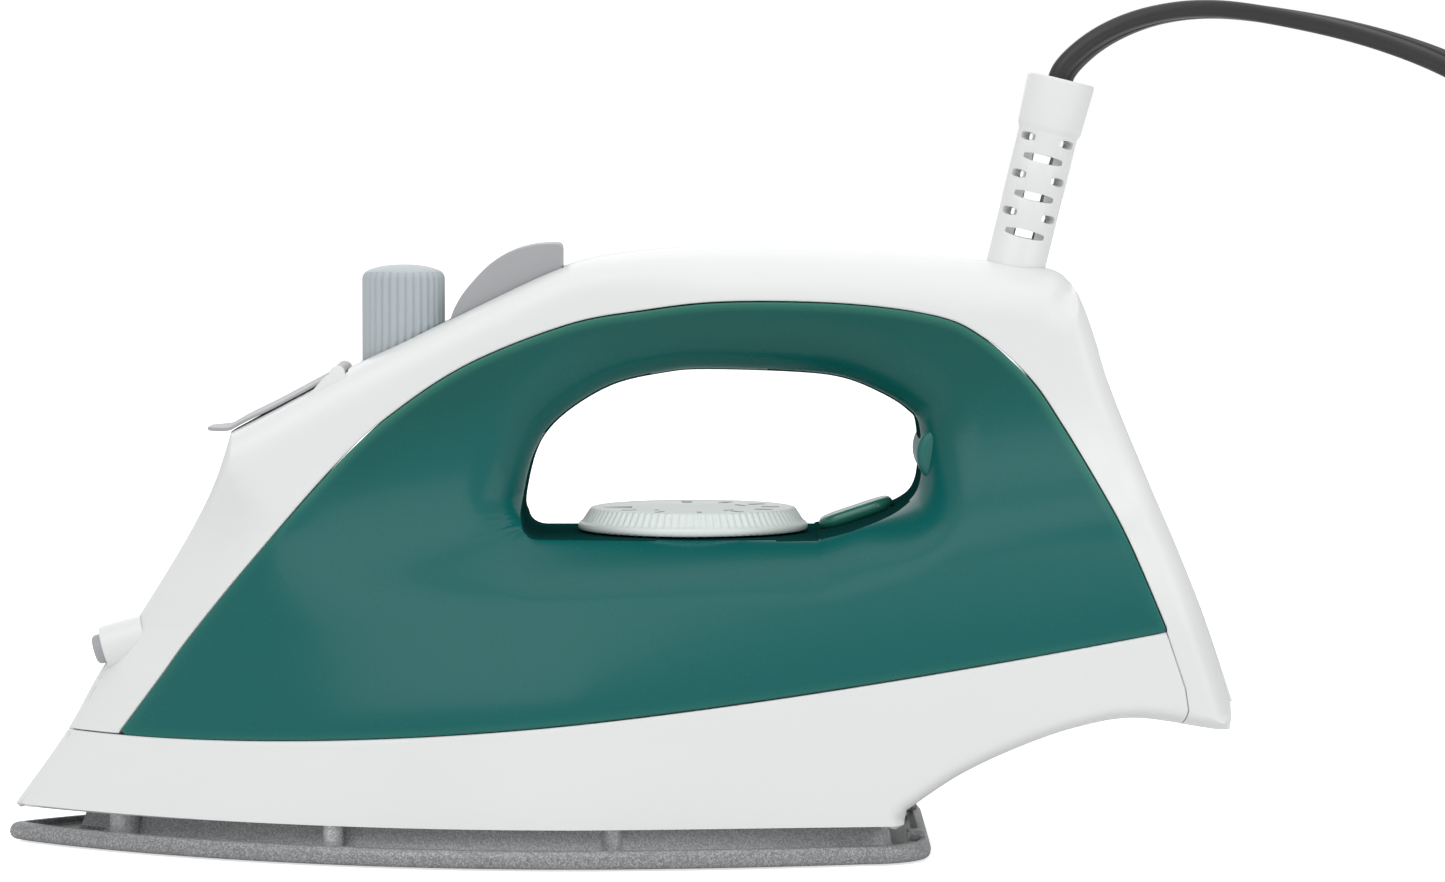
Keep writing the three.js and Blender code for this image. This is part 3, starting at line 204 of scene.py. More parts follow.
def height_tint_group() -> bpy.types.NodeTree:
    """Builds the group that tints a see-through moulding: lighter low down, darker higher up, with a painted edge
    highlight mixed in where the 'thin' attribute marks it.
    """
    build = GroupBuilder("Depth tint", {
        "Upper tone": (0.01, 0.09, 0.09, 1.0), "Lower tone": (0.03, 0.15, 0.14, 1.0), "Painted edge highlight": (0.1, 0.3, 0.25, 1.0),
        "Low": 0.02, "High": 0.1, "Edge": 0.02}, {"Colour": "NodeSocketColor"})
    split = build.node("ShaderNodeSeparateXYZ")
    build.link(build.place, split.inputs[0])
    cloud = build.ramp(build.noise(14, 2), 0.3, 0.7, -0.012, 0.012)
    rise = build.node("ShaderNodeMapRange", interpolation_type="SMOOTHSTEP")
    build.link(build.maths("ADD", split.outputs["Z"], cloud), rise.inputs["Value"])
    build.link(build.inp.outputs["Low"], rise.inputs["From Min"])
    build.link(build.inp.outputs["High"], rise.inputs["From Max"])
    body = build.mix(rise.outputs["Result"], build.inp.outputs["Lower tone"], build.inp.outputs["Upper tone"])
    # The 'thin' attribute holds the weight of the painted highlight along the tank's edge, not a wall thickness.
    edge = build.node("ShaderNodeAttribute", attribute_name="thin")
    amount = build.maths("MULTIPLY", edge.outputs["Fac"], 0.85)
    build.link(build.mix(amount, body, build.inp.outputs["Painted edge highlight"]), build.out.inputs["Colour"])
    return build.tree


def shared_group(maker: Callable[[], bpy.types.NodeTree]) -> bpy.types.NodeTree:
    """Returns the node group that a maker builds, built once."""
    tree = next((t for t in bpy.data.node_groups if t.get("maker") == maker.__name__), None)
    if tree is None:
        tree = maker()
        tree["maker"] = maker.__name__
    return tree


@dataclass(frozen=True)
class Finish:
    """A finish: one shader with plain settings, fed by one surface group."""

    name: str
    group: Callable[[], bpy.types.NodeTree]
    values: dict[str, object]
    bump: float = 0.0
    metallic: float = 0.0
    coat: float = 0.0
    settings: dict[str, float] = field(default_factory=dict)

    def material(self) -> bpy.types.Material:
        """Returns the finish's material, made once."""
        known = bpy.data.materials.get(self.name)
        if known is not None:
            return known
        made = bpy.data.materials.new(self.name)
        made.use_nodes = True
        nodes, links = made.node_tree.nodes, made.node_tree.links
        shader = nodes["Principled BSDF"]
        surface = self._surface(made)
        for label in ("Base Color", "Roughness"):
            source = surface.outputs.get({"Base Color": "Colour"}.get(label, label))
            if source is not None:
                links.new(source, shader.inputs[label])
        if self.bump and "Height" in surface.outputs:
            bump = nodes.new("ShaderNodeBump")
            bump.inputs["Strength"].default_value = 1.0
            bump.inputs["Distance"].default_value = self.bump
            links.new(surface.outputs["Height"], bump.inputs["Height"])
            links.new(bump.outputs["Normal"], shader.inputs["Normal"])
        shader.inputs["Metallic"].default_value = self.metallic
        shader.inputs["Coat Weight"].default_value = self.coat
        for label, value in self.settings.items():
            shader.inputs[label].default_value = value
        return made

    def _surface(self, made: bpy.types.Material) -> bpy.types.Node:
        """Places the finish's group in a material with the finish's own values."""
        node = made.node_tree.nodes.new("ShaderNodeGroup")
        node.node_tree = shared_group(self.group)
        for label, value in self.values.items():
            node.inputs[label].default_value = value
        return node


@dataclass(frozen=True)
class TankFinish(Finish):
    """The tinted tank plastic: height tint with a painted edge highlight for its colour, moulding marks for its
    gloss.
    """

    smooth: float = 0.26
    rubbed: float = 0.29

    def material(self) -> bpy.types.Material:
        """Returns the tank's material, made once."""
        known = bpy.data.materials.get(self.name)
        if known is not None:
            return known
        made = super().material()
        nodes, links = made.node_tree.nodes, made.node_tree.links
        shader = nodes["Principled BSDF"]
        marks = nodes.new("ShaderNodeGroup")
        marks.node_tree = shared_group(moulding_group)
        marks.inputs["Smooth"].default_value = self.smooth
        marks.inputs["Rubbed"].default_value = self.rubbed
        links.new(marks.outputs["Roughness"], shader.inputs["Roughness"])
        return made


def plastic(name: str, colour: Colour, shade: Colour, smooth: float, rubbed: float, grain: float = 4e-6,
            coat: float = 0.0) -> Finish:
    """Returns a moulded plastic finish."""
    return Finish(name, moulding_group, {"Colour": colour, "Shade": shade, "Smooth": smooth, "Rubbed": rubbed},
                  bump=grain, coat=coat)


WHITE = plastic("White polypropylene", tone(236, 238, 237), tone(234, 236, 235), 0.29, 0.31, coat=0.05)
MINT = plastic("Pale mint moulding", tone(230, 238, 235), tone(224, 233, 230), 0.3, 0.4)
GREY_BLUE = plastic("Grey-blue moulding", tone(188, 196, 200), tone(178, 187, 192), 0.34, 0.46)
GREY = plastic("Satin grey moulding", tone(178, 179, 182), tone(166, 168, 171), 0.32, 0.42)
MARK = plastic("Grey print", tone(140, 146, 146), tone(126, 132, 132), 0.4, 0.5)
NATURAL = plastic("Natural nylon", tone(226, 222, 210), tone(214, 208, 194), 0.4, 0.55)
LEAD = plastic("Dark grey flexible PVC", tone(46, 46, 48), tone(38, 38, 40), 0.34, 0.5, 8e-6)
RUBBER = plastic("Black rubber", tone(34, 34, 34), tone(27, 27, 27), 0.6, 0.75, 1e-5)
LENS = plastic("Green lens", tone(50, 132, 115), tone(44, 122, 108), 0.14, 0.24, coat=0.4)
CAP = plastic("Teal screw cap", tone(24, 108, 102), tone(20, 100, 95), 0.4, 0.5)
STEEL = Finish("Plated steel", moulding_group, {"Colour": tone(176, 178, 180), "Shade": tone(158, 160, 162),
               "Smooth": 0.25, "Rubbed": 0.42}, bump=3e-6, metallic=1.0)
BRASS = Finish("Plain brass", moulding_group, {"Colour": tone(196, 164, 96), "Shade": tone(178, 144, 82),
               "Smooth": 0.22, "Rubbed": 0.4}, bump=3e-6, metallic=1.0)
SOLE_RIM = Finish("Speckled sole coating", speckle_group, {
    "Colour": tone(148, 149, 151), "Dark fleck": tone(128, 129, 131), "Light fleck": tone(174, 175, 176),
    "Scale": 3600.0}, bump=1e-5, metallic=0.2)
# A lighter copy of the sole coating for the casting wall under the skirt: painted light that brightens the shadowed
# wall.
SOLE_CASTING_PAINTED_LIGHT = Finish("Casting under the skirt, lightened as painted light", speckle_group, {
    "Colour": tone(206, 207, 209), "Dark fleck": tone(184, 185, 187), "Light fleck": tone(226, 227, 228),
    "Scale": 3600.0}, bump=1e-5, metallic=0.1)
SOLE_FACE = Finish("Smooth sole coating", moulding_group, {"Colour": tone(92, 93, 96), "Shade": tone(80, 81, 84),
                   "Smooth": 0.2, "Rubbed": 0.36}, bump=2e-6, metallic=0.5)
# The tank's third tone is a painted highlight along its seams, stronger higher up.
TANK = TankFinish("Tinted tank plastic with painted edge highlight", height_tint_group, {
    "Upper tone": tone(6, 84, 78), "Lower tone": tone(8, 98, 95), "Painted edge highlight": tone(62, 132, 114), "Low": 0.075, "High": 0.115},
    coat=0.05, settings={"Specular IOR Level": 0.3})
# Inside the handle opening the tank's tones are darker as painted shade, with duller gloss.
TANK_INSIDE_PAINTED_SHADE = TankFinish("Tank plastic inside the handle with painted shade", height_tint_group, {
    "Upper tone": tone(14, 52, 48), "Lower tone": tone(16, 62, 60), "Painted edge highlight": tone(30, 80, 70), "Low": 0.06, "High": 0.11},
    settings={"Specular IOR Level": 0.0}, smooth=0.55, rubbed=0.65)
SLOT_FINISH = {"sole_metal": SOLE_RIM, "white_shell": WHITE, "green_tank": TANK, "mint_dial": MINT,
               "grey_blue": GREY_BLUE, "grey_button": GREY, "lens": LENS, "natural_plastic": NATURAL,
               "seal": RUBBER, "lead": LEAD, "steel": STEEL, "brass": BRASS}


# ---- mesh helpers --------------------------------------------------------------------------------


def mesh_object(name: str, verts: np.ndarray, faces: Sequence[Sequence[int]], merge: float = 0.0,
                sharp: float = 32.0) -> bpy.types.Object:
    """Makes a smooth-shaded object from points and faces.

    Args:
        name: The piece's name.
        verts: Points, one row each.
        faces: Point numbers of each face.
        merge: Distance within which points become one.
        sharp: Angle in degrees above which an edge stays sharp.

    Returns:
        The new object, linked to the scene.
    """
    mesh = bpy.data.meshes.new(name)
    mesh.from_pydata([tuple(float(c) for c in v) for v in verts], [], [tuple(f) for f in faces])
    work = bmesh.new()
    work.from_mesh(mesh)
    if merge:
        bmesh.ops.remove_doubles(work, verts=work.verts, dist=merge)
        bmesh.ops.dissolve_degenerate(work, edges=work.edges, dist=merge / 10)
    bmesh.ops.recalc_face_normals(work, faces=work.faces)
    work.to_mesh(mesh)
    work.free()
    shade(mesh, sharp)
    made = bpy.data.objects.new(name, mesh)
    bpy.context.scene.collection.objects.link(made)
    return made


def shade(mesh: bpy.types.Mesh, sharp: float) -> None:
    """Shades a mesh smooth, except at edges above an angle in degrees."""
    mesh.shade_smooth()
    mesh.set_sharp_from_angle(angle=math.radians(sharp))


def finish_modifiers(piece: bpy.types.Object, sharp: float = 32.0) -> bpy.types.Object:
    """Applies a piece's modifiers and shades the result."""
    graph = bpy.context.evaluated_depsgraph_get()
    mesh = bpy.data.meshes.new_from_object(piece.evaluated_get(graph))
    piece.modifiers.clear()
    piece.data = mesh
    shade(mesh, sharp)
    return piece


def bevel(piece: bpy.types.Object, width: float, segments: int = 3, angle: float = 35.0) -> bpy.types.Object:
    """Rounds the sharp edges of a piece."""
    step = piece.modifiers.new("bevel", "BEVEL")
    step.width = width
    step.segments = segments
    step.limit_method = "ANGLE"
    step.angle_limit = math.radians(angle)
    return finish_modifiers(piece, 50)


def thicken(piece: bpy.types.Object, wall: float) -> bpy.types.Object:
    """Gives a skin its wall, on its inner side."""
    step = piece.modifiers.new("wall", "SOLIDIFY")
    step.thickness = wall
    step.offset = -1
    step.use_even_offset = False
    return finish_modifiers(piece)


def cut(piece: bpy.types.Object, tools: Sequence[bpy.types.Object]) -> bpy.types.Object:
    """Cuts the tools out of a piece and deletes them."""
    for tool in tools:
        step = piece.modifiers.new("cut", "BOOLEAN")
        step.operation = "DIFFERENCE"
        step.solver = "EXACT"
        step.object = tool
    finish_modifiers(piece)
    for tool in tools:
        bpy.data.objects.remove(tool)
    return piece


def ring_faces(rings: int, points: int, closed: bool = False) -> list[tuple[int, ...]]:
    """Returns the side faces between rings that each hold the same number of points."""
    last = rings if closed else rings - 1
    return [(r * points + i, r * points + (i + 1) % points, (r + 1) % rings * points + (i + 1) % points,
             (r + 1) % rings * points + i) for r in range(last) for i in range(points)]


def loft(name: str, rings: np.ndarray, sharp: float = 32.0) -> bpy.types.Object:
    """Makes a closed body through rings of points, with its two ends filled."""
    count, points = rings.shape[:2]
    faces = ring_faces(count, points)
    faces += [tuple(range(points))[::-1], tuple(range((count - 1) * points, count * points))]
    return mesh_object(name, rings.reshape(-1, 3), faces, sharp=sharp)


def turned(name: str, profile: Sequence[tuple[float, float]], sides: int = 64, sharp: float = 32.0,
           ribs: Callable[[float], np.ndarray] | None = None) -> bpy.types.Object:
    """Makes a body turned about Z from a profile of radius and height.

    Args:
        name: The piece's name.
        profile: Points of radius and height, from one end to the other.
        sides: Points in each ring.
        sharp: Angle in degrees above which an edge stays sharp.
        ribs: Gives each ring's factors on its radius, from its radius.

    Returns:
        The new object.
    """
    angle = np.linspace(0, 2 * math.pi, sides, endpoint=False)
    rings = []
    for radius, height in profile:
        reach = radius * (ribs(radius) if ribs else 1.0)
        rings.append(np.stack([reach * np.cos(angle), reach * np.sin(angle), np.full(sides, height)], 1))
    return loft(name, np.array(rings), sharp)


def prism(name: str, outline: Chain, low: float, high: float, plane: str = "xz") -> bpy.types.Object:
    """Makes a prism from an outline in the x-z, x-y or y-z plane, from low to high on the third axis."""
    count = len(outline)
    rings = []
    for level in (low, high):
        a, b, c = outline[:, 0], outline[:, 1], np.full(count, level)
        rings.append(np.stack({"xz": (a, c, b), "xy": (a, b, c), "yz": (c, a, b)}[plane], 1))
    return loft(name, np.array(rings))


def moved(piece: bpy.types.Object, matrix: Matrix) -> bpy.types.Object:
    """Moves a piece's mesh, leaving its object at the origin."""
    piece.data.transform(matrix)
    return piece


def joined(name: str, parts: Sequence[bpy.types.Object]) -> bpy.types.Object:
    """Joins pieces of one finish into one object."""
    work = bmesh.new()
    for part in parts:
        work.from_mesh(part.data)
        bpy.data.objects.remove(part)
    mesh = bpy.data.meshes.new(name)
    work.to_mesh(mesh)
    work.free()
    shade(mesh, 32)
    made = bpy.data.objects.new(name, mesh)
    bpy.context.scene.collection.objects.link(made)
    return made


def dress(piece: bpy.types.Object, finish: Finish, body: Body, replaces: Sequence[str] = ()) -> None:
    """Gives a piece its finish, its body and the frame's nodes that it stands for."""
    piece.data.materials.clear()
    piece.data.materials.append(finish.material())
    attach(piece, body.value)
    if replaces:
        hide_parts(*replaces)
    LOG.info("%s: %d faces", piece.name, len(piece.data.polygons))


# ---- outline of the body ---------------------------------------------------------------------------


def chain(points: Sequence[tuple[float, float]]) -> Chain:
    """Returns points given in millimetres as a chain in metres."""
    return np.array(points, float) * MM


def spline(points: Chain, count: int) -> Chain:
    """Returns evenly stepped points on a smooth curve through a chain."""
    steps = np.linspace(0, len(points) - 1, count + 1)
    first = np.minimum(steps.astype(int), len(points) - 2)
    t = (steps - first)[:, None]
    p0, p1 = points[np.maximum(first - 1, 0)], points[first]
    p2, p3 = points[first + 1], points[np.minimum(first + 2, len(points) - 1)]
    v0, v1 = (p2 - p0) / 2, (p3 - p1) / 2
    return (2 * p1 - 2 * p2 + v0 + v1) * t**3 + (-3 * p1 + 3 * p2 - 2 * v0 - v1) * t**2 + v0 * t + p1


def dense(points: Chain) -> Chain:
    """Returns a chain with each of its spans cut into small steps."""
    spans = [a + (b - a) * np.linspace(0, 1, 9)[:-1, None] for a, b in zip(points[:-1], points[1:])]
    return np.vstack([*spans, points[-1:]])


def between(first: np.ndarray, last: np.ndarray, start: float, end: float, t: np.ndarray) -> np.ndarray:
    """Returns the places between two points that t reaches between a start and an end."""
    return (end - t) / (end - start) * first + (t - start) / (end - start) * last


def in_metres(profile: Sequence[tuple[float, float]]) -> list[tuple[float, float]]:
    """Returns a profile of radius and height, drawn in millimetres, in metres."""
    return [(radius * MM, height * MM) for radius, height in profile]


def smoothstep(value: np.ndarray, low: float, high: float) -> np.ndarray:
    """Returns a smooth rise from 0 at low to 1 at high."""
    t = np.clip((value - low) / (high - low), 0, 1)
    return t * t * (3 - 2 * t)


def nearest(points: Chain, x: np.ndarray, z: np.ndarray) -> tuple[np.ndarray, np.ndarray, np.ndarray]:
    """Returns the distance to a chain, and the nearest place's x and z, for each place."""
    best = np.full(x.shape, np.inf)
    near_x, near_z = np.zeros(x.shape), np.zeros(x.shape)
    for a, b in zip(points[:-1], points[1:]):
        along = b - a
        t = np.clip(((x - a[0]) * along[0] + (z - a[1]) * along[1]) / max(along @ along, 1e-18), 0, 1)
        px, pz = a[0] + t * along[0], a[1] + t * along[1]
        away = np.hypot(x - px, z - pz)
        closer = away < best
        best = np.where(closer, away, best)
        near_x, near_z = np.where(closer, px, near_x), np.where(closer, pz, near_z)
    return best, near_x, near_z


def ray_reach(points: Chain, centre: np.ndarray, angles: np.ndarray) -> np.ndarray:
    """Returns how far from a centre each ray last crosses a chain."""
    best = np.zeros(len(angles))
    dx, dz = np.cos(angles), np.sin(angles)
    for a, b in zip(points[:-1], points[1:]):
        ex, ez = b - a
        wx, wz = a - centre
        cross = dx * ez - dz * ex
        safe = np.where(np.abs(cross) < 1e-12, 1e-12, cross)
        reach = (wx * ez - wz * ex) / safe
        t = (wx * dz - wz * dx) / safe
        hit = (np.abs(cross) > 1e-12) & (t > -1e-4) & (t < 1 + 1e-4)
        best = np.where(hit & (reach > best), reach, best)
    return best


EDGE_POINTS = 240  # points along each outer edge of the body


@dataclass
class BodyForm:
    """The iron's outer form: outlines in side view and the half width at each place inside them."""

    wide_x: float = -8 * MM
    half_base: float = 50.6 * MM
    half_grip: float = 17.3 * MM
    mouth: float = 8.1 * MM
    deck: float = 68.3 * MM
    middle: np.ndarray = field(default_factory=lambda: np.array([22.0, 88.0]) * MM)
    nose: Chain = field(default_factory=lambda: chain([
        (-132.6, 8.1), (-121.6, 23.5), (-113.7, 37.4), (-106.3, 47.7), (-94.6, 66.6), (-88, 79.6), (-84.3, 90.5)]))
    slope: Chain = field(default_factory=lambda: chain([
        (-84.3, 90.5), (-56.2, 105.5), (-37.5, 114.5), (-11.8, 126.5), (4, 130), (24, 131.2), (50, 130.5),
        (77, 128.4), (94.8, 126.2), (100, 123)]))
    heel: Chain = field(default_factory=lambda: chain([
        (100, 123), (103.2, 116.3), (109.8, 96.5), (116.4, 80.2), (122.2, 66.5), (128, 51), (134, 32.5)]))
    overhang: Chain = field(default_factory=lambda: chain([
        (134, 32.5), (134, 28.9), (131.3, 26.6), (113, 29.1), (100.3, 27.2), (87.6, 22.9), (74.9, 17), (63.6, 9.6)]))
    grip: Chain = field(default_factory=lambda: chain([
        (-19.7, 71.3), (-20, 75), (-17.4, 86), (-12, 93.7), (-1, 100.7), (11, 103.6), (20.3, 104.3), (39.9, 103.7),
        (50, 102.4), (58, 99.2), (63.6, 95.7), (66.2, 91.7), (66.2, 80), (61.9, 74.5), (52, 70.6), (44, 68.5)]))
    tank_seam: Chain = field(default_factory=lambda: chain([
        (-108.3, 25.3), (-99.5, 37), (-92.6, 46.4), (-79.4, 62.5), (-60, 84.5), (-47, 96), (-31, 106.2), (-10, 114.4),
        (6, 117.4), (24, 119.3), (50, 118.9), (70, 116.2), (80, 111.6), (90, 103), (97, 93), (105, 79.5), (111, 68),
        (118.5, 50.2)]))
    rear_seam: Chain = field(default_factory=lambda: chain([
        (118.5, 49.4), (122.6, 37.2), (123.3, 32.5), (121.9, 28.3)]))

    def seam_z(self, x: np.ndarray) -> np.ndarray:
        """Returns the height of the seam between skirt and tank."""
        t = np.maximum(0, (x + 108 * MM) / (226.5 * MM))
        return (24.5 + 24.9 * t**1.75) * MM

    def base_seam(self, count: int) -> Chain:
        """Returns the seam between skirt and tank from the heel to the nose."""
        x = np.linspace(118.5, -108.3, count) * MM
        return np.stack([x, self.seam_z(x)], 1)

    def opening(self, count: int) -> Chain:
        """Returns the closed outline of the handle opening."""
        curve = spline(self.grip, count)
        start, end = curve[0], curve[-1]
        deck = [[end[0] + (start[0] + 4 * MM - end[0]) * t, self.deck] for t in np.linspace(0, 1, 26)[:-1]]
        fillet = [[start[0] + 4 * MM * (1 - math.sin(a)), self.deck + (start[1] - self.deck) * (1 - math.cos(a))]
                  for a in np.linspace(0, math.pi / 2, 7)[:-1]]
        return np.vstack([curve, deck, fillet, curve[:1]])

    def plan_half(self, x: np.ndarray, tip: np.ndarray, half: np.ndarray) -> np.ndarray:
        """Returns the half width of a pointed plan form with its tip at a given x."""
        u = np.clip((x - tip) / np.maximum(self.wide_x - tip, MM), 0, 1)
        front = half * (1 - (1 - u) ** 2) ** 0.9
        t = np.clip((x - self.wide_x) / (142 * MM), 0, 1)
        return np.where(x < self.wide_x, front, half - 10 * MM * (1 - (1 - t) ** 2.2) ** 1.5)

    def half_width(self, x: np.ndarray, z: np.ndarray) -> np.ndarray:
        """Returns the half width at places in side view, with every edge rounded.

        Args:
            x: Places along the iron.
            z: Their heights.

        Returns:
            The half width at each place.
        """
        order = np.argsort(self.nose[:, 1])
        tip = np.interp(z, self.nose[order, 1], self.nose[order, 0])
        low_tip = np.interp(24 * MM, self.nose[order, 1], self.nose[order, 0])
        above = z - self.seam_z(x)
        half = self.half_base * (1 - 0.02 * np.clip((z - self.mouth) / (18 * MM), 0, 1))
        plan = self.plan_half(x, tip, half) + 30 * MM * smoothstep(z, 68 * MM, 96 * MM)
        rise = np.clip(above, 0, 80 * MM)
        flare = (1 - 4 * rise) / (1 + (rise / (35 * MM)) ** 5)
        upright = np.maximum(self.plan_half(x, low_tip, half), self.half_grip)
        side = self.half_grip + flare * (upright - self.half_grip)
        both = (np.maximum(plan, 1e-5) ** -6 + side**-6) ** (-1 / 6)
        blend = smoothstep(above, 0, 24 * MM)
        width = plan * (1 - blend) + both * blend
        return self._round_opening(x, z, width * self._round_edges(x, z))

    def _round_edges(self, x: np.ndarray, z: np.ndarray) -> np.ndarray:
        """Returns the share of the half width that the rounded outer edges leave."""
        share = np.ones(x.shape)
        edges = [(self.nose, 2.5, 2.0), (self.slope, 12.0, 0.0), (self.heel, 9.0, 4.0), (self.overhang, 5.0, 3.0)]
        for points, radius, power in edges:
            away, near_x, _ = nearest(spline(points, EDGE_POINTS), x, z)
            shape = power or 4.5 - 2.3 * smoothstep(near_x, -15 * MM, 25 * MM)
            depth = np.clip(away / (radius * MM), 0, 1) * (away > 0.01 * MM)
            share = np.minimum(share, (1 - (1 - depth) ** shape) ** (1 / shape))
        return share

    def _round_opening(self, x: np.ndarray, z: np.ndarray, width: np.ndarray) -> np.ndarray:
        """Returns the half width with the opening's lip rounded."""
        away, _, near_z = nearest(self.opening(90), x, z)
        rim = MM * (23 + (8.5 - 23) * smoothstep(near_z, 70 * MM, 77 * MM))
        lip = np.minimum(rim, width)
        depth = np.clip(away / (13 * MM), 0, 1)
        return lip + (width - lip) * np.sqrt(1 - (1 - depth) ** 2)

    def grid(self, inner: Chain, outer: Chain, steps: np.ndarray, gap: tuple[float, float]) -> np.ndarray:
        """Returns a grid of x-z places on rays from the middle, between an inner and an outer chain.

        Args:
            inner: Chain that the rays start from.
            outer: Chain with one ray through each of its points.
            steps: Shares of the way out, above 0 and below 1.
            gap: Clearance kept to the inner and to the outer chain.

        Returns:
            Places by ray and step, with fine steps beside both chains.
        """
        away = outer - self.middle
        angles = np.arctan2(away[:, 1], away[:, 0])
        far = np.hypot(away[:, 0], away[:, 1])
        near = ray_reach(inner, self.middle, angles)
        near = np.where(near > 0, np.minimum(near + gap[0], far), far)
        span = np.maximum(far - gap[1] - near, 0)[:, None]
        edge = np.array([0, 0.08, 0.2, 0.35, 0.6]) * MM
        fine = edge * np.minimum(1, 0.2 * span / edge[-1])
        side = fine[:, -1:]
        reach = near[:, None] + np.hstack([fine, side + (span - 2 * side) * steps, (span - fine)[:, ::-1]])
        return self.middle + reach[..., None] * np.stack([np.cos(angles), np.sin(angles)], 1)[:, None, :]

    def skin(self, name: str, places: np.ndarray, seams: Sequence[Chain], closed: bool = False,
             bridge: bool = False) -> bpy.types.Object:
        """Makes a two-sided skin over a grid of places.

        Args:
            name: The piece's name.
            places: Grid of x-z places.
            seams: Chains beside which the skin's edge is rounded off.
            closed: Whether the grid goes all the way round the opening.
            bridge: Whether the first row's two sides are joined across.

        Returns:
            The skin, with one-sided faces that look outwards.
        """
        rays, rows = places.shape[:2]
        width = self.half_width(places[..., 0], places[..., 1])
        for seam in seams:
            depth = np.clip((nearest(seam, places[..., 0], places[..., 1])[0] - 0.15 * MM) / (0.5 * MM), 0, 1)
            width = np.maximum(width - 0.35 * MM * (1 - np.sqrt(1 - (1 - depth) ** 2)), 0.3 * width)
        sides = [np.stack([places[..., 0], s * width, places[..., 1]], -1).reshape(-1, 3) for s in (1, -1)]
        near = ring_faces(rays, rows, closed)
        near = [f for f in near if (f[1] - f[0]) == 1]
        faces = near + [tuple(v + rays * rows for v in f[::-1]) for f in near]
        if bridge:
            last = rays if closed else rays - 1
            columns = 8
            faces += self._bridge(sides, rays, rows, last, columns)
        verts = np.vstack(sides)
        if bridge:
            extra = [sides[0][i * rows] * (1 - t) + sides[1][i * rows] * t
                     for i in range(rays) for t in np.linspace(0, 1, columns + 1)[1:-1]]
            verts = np.vstack([verts, extra])
        return mesh_object(name, verts, faces, merge=0.000002, sharp=38)

    @staticmethod
    def _bridge(sides: list[np.ndarray], rays: int, rows: int, last: int, columns: int) -> list[tuple[int, ...]]:
        """Returns the faces that join the first row's two sides in a number of columns."""
        base = 2 * len(sides[0])

        def point(ray: int, column: int) -> int:
            """Returns the number of the point on a ray at a column across."""
            if column == 0:
                return ray * rows
            if column == columns:
                return len(sides[0]) + ray * rows
            return base + ray * (columns - 1) + column - 1

        return [(point(i, c), point(i, c + 1), point((i + 1) % rays, c + 1), point((i + 1) % rays, c))
                for i in range(last) for c in range(columns)]


def aimed(point: Sequence[float], direction: Sequence[float]) -> Matrix:
    """Returns the matrix that takes +Z at the origin to a direction at a point."""
    turn = Vector((0, 0, 1)).rotation_difference(Vector(direction)).to_matrix().to_4x4()
    return Matrix.Translation(Vector(point)) @ turn


def rod(radius: float, low: float, high: float, matrix: Matrix, sides: int = 48,
        edge: float = 0.0) -> bpy.types.Object:
    """Makes a round rod along a matrix's Z axis, with its ends' edges rounded."""
    if edge:
        turns = [edge * (1 - math.sin(a)) for a in np.linspace(0, math.pi / 2, 6)]
        drops = [edge * (1 - math.cos(a)) for a in np.linspace(0, math.pi / 2, 6)]
        profile = [(radius - d, low + t) for t, d in zip(turns[::-1], drops[::-1])]
        profile += [(radius - d, high - t) for t, d in zip(turns, drops)]
    else:
        profile = [(radius, low), (radius, high)]
    return moved(turned("rod", profile, sides), matrix)


def block(low: Sequence[float], high: Sequence[float], matrix: Matrix | None = None) -> bpy.types.Object:
    """Makes a cutting block between two corners."""
    outline = np.array([[low[0], low[1]], [high[0], low[1]], [high[0], high[1]], [low[0], high[1]]])
    made = prism("block", outline, low[2], high[2], "xy")
    return moved(made, matrix) if matrix else made


def pill_outline(length: float, width: float, points: int = 24) -> Chain:
    """Returns the outline of a pill: a bar with round ends."""
    half, radius = (length - width) / 2, width / 2
    turn = np.linspace(-math.pi / 2, math.pi / 2, points)
    right = np.stack([half + radius * np.cos(turn), radius * np.sin(turn)], 1)
    return np.vstack([right, -right])


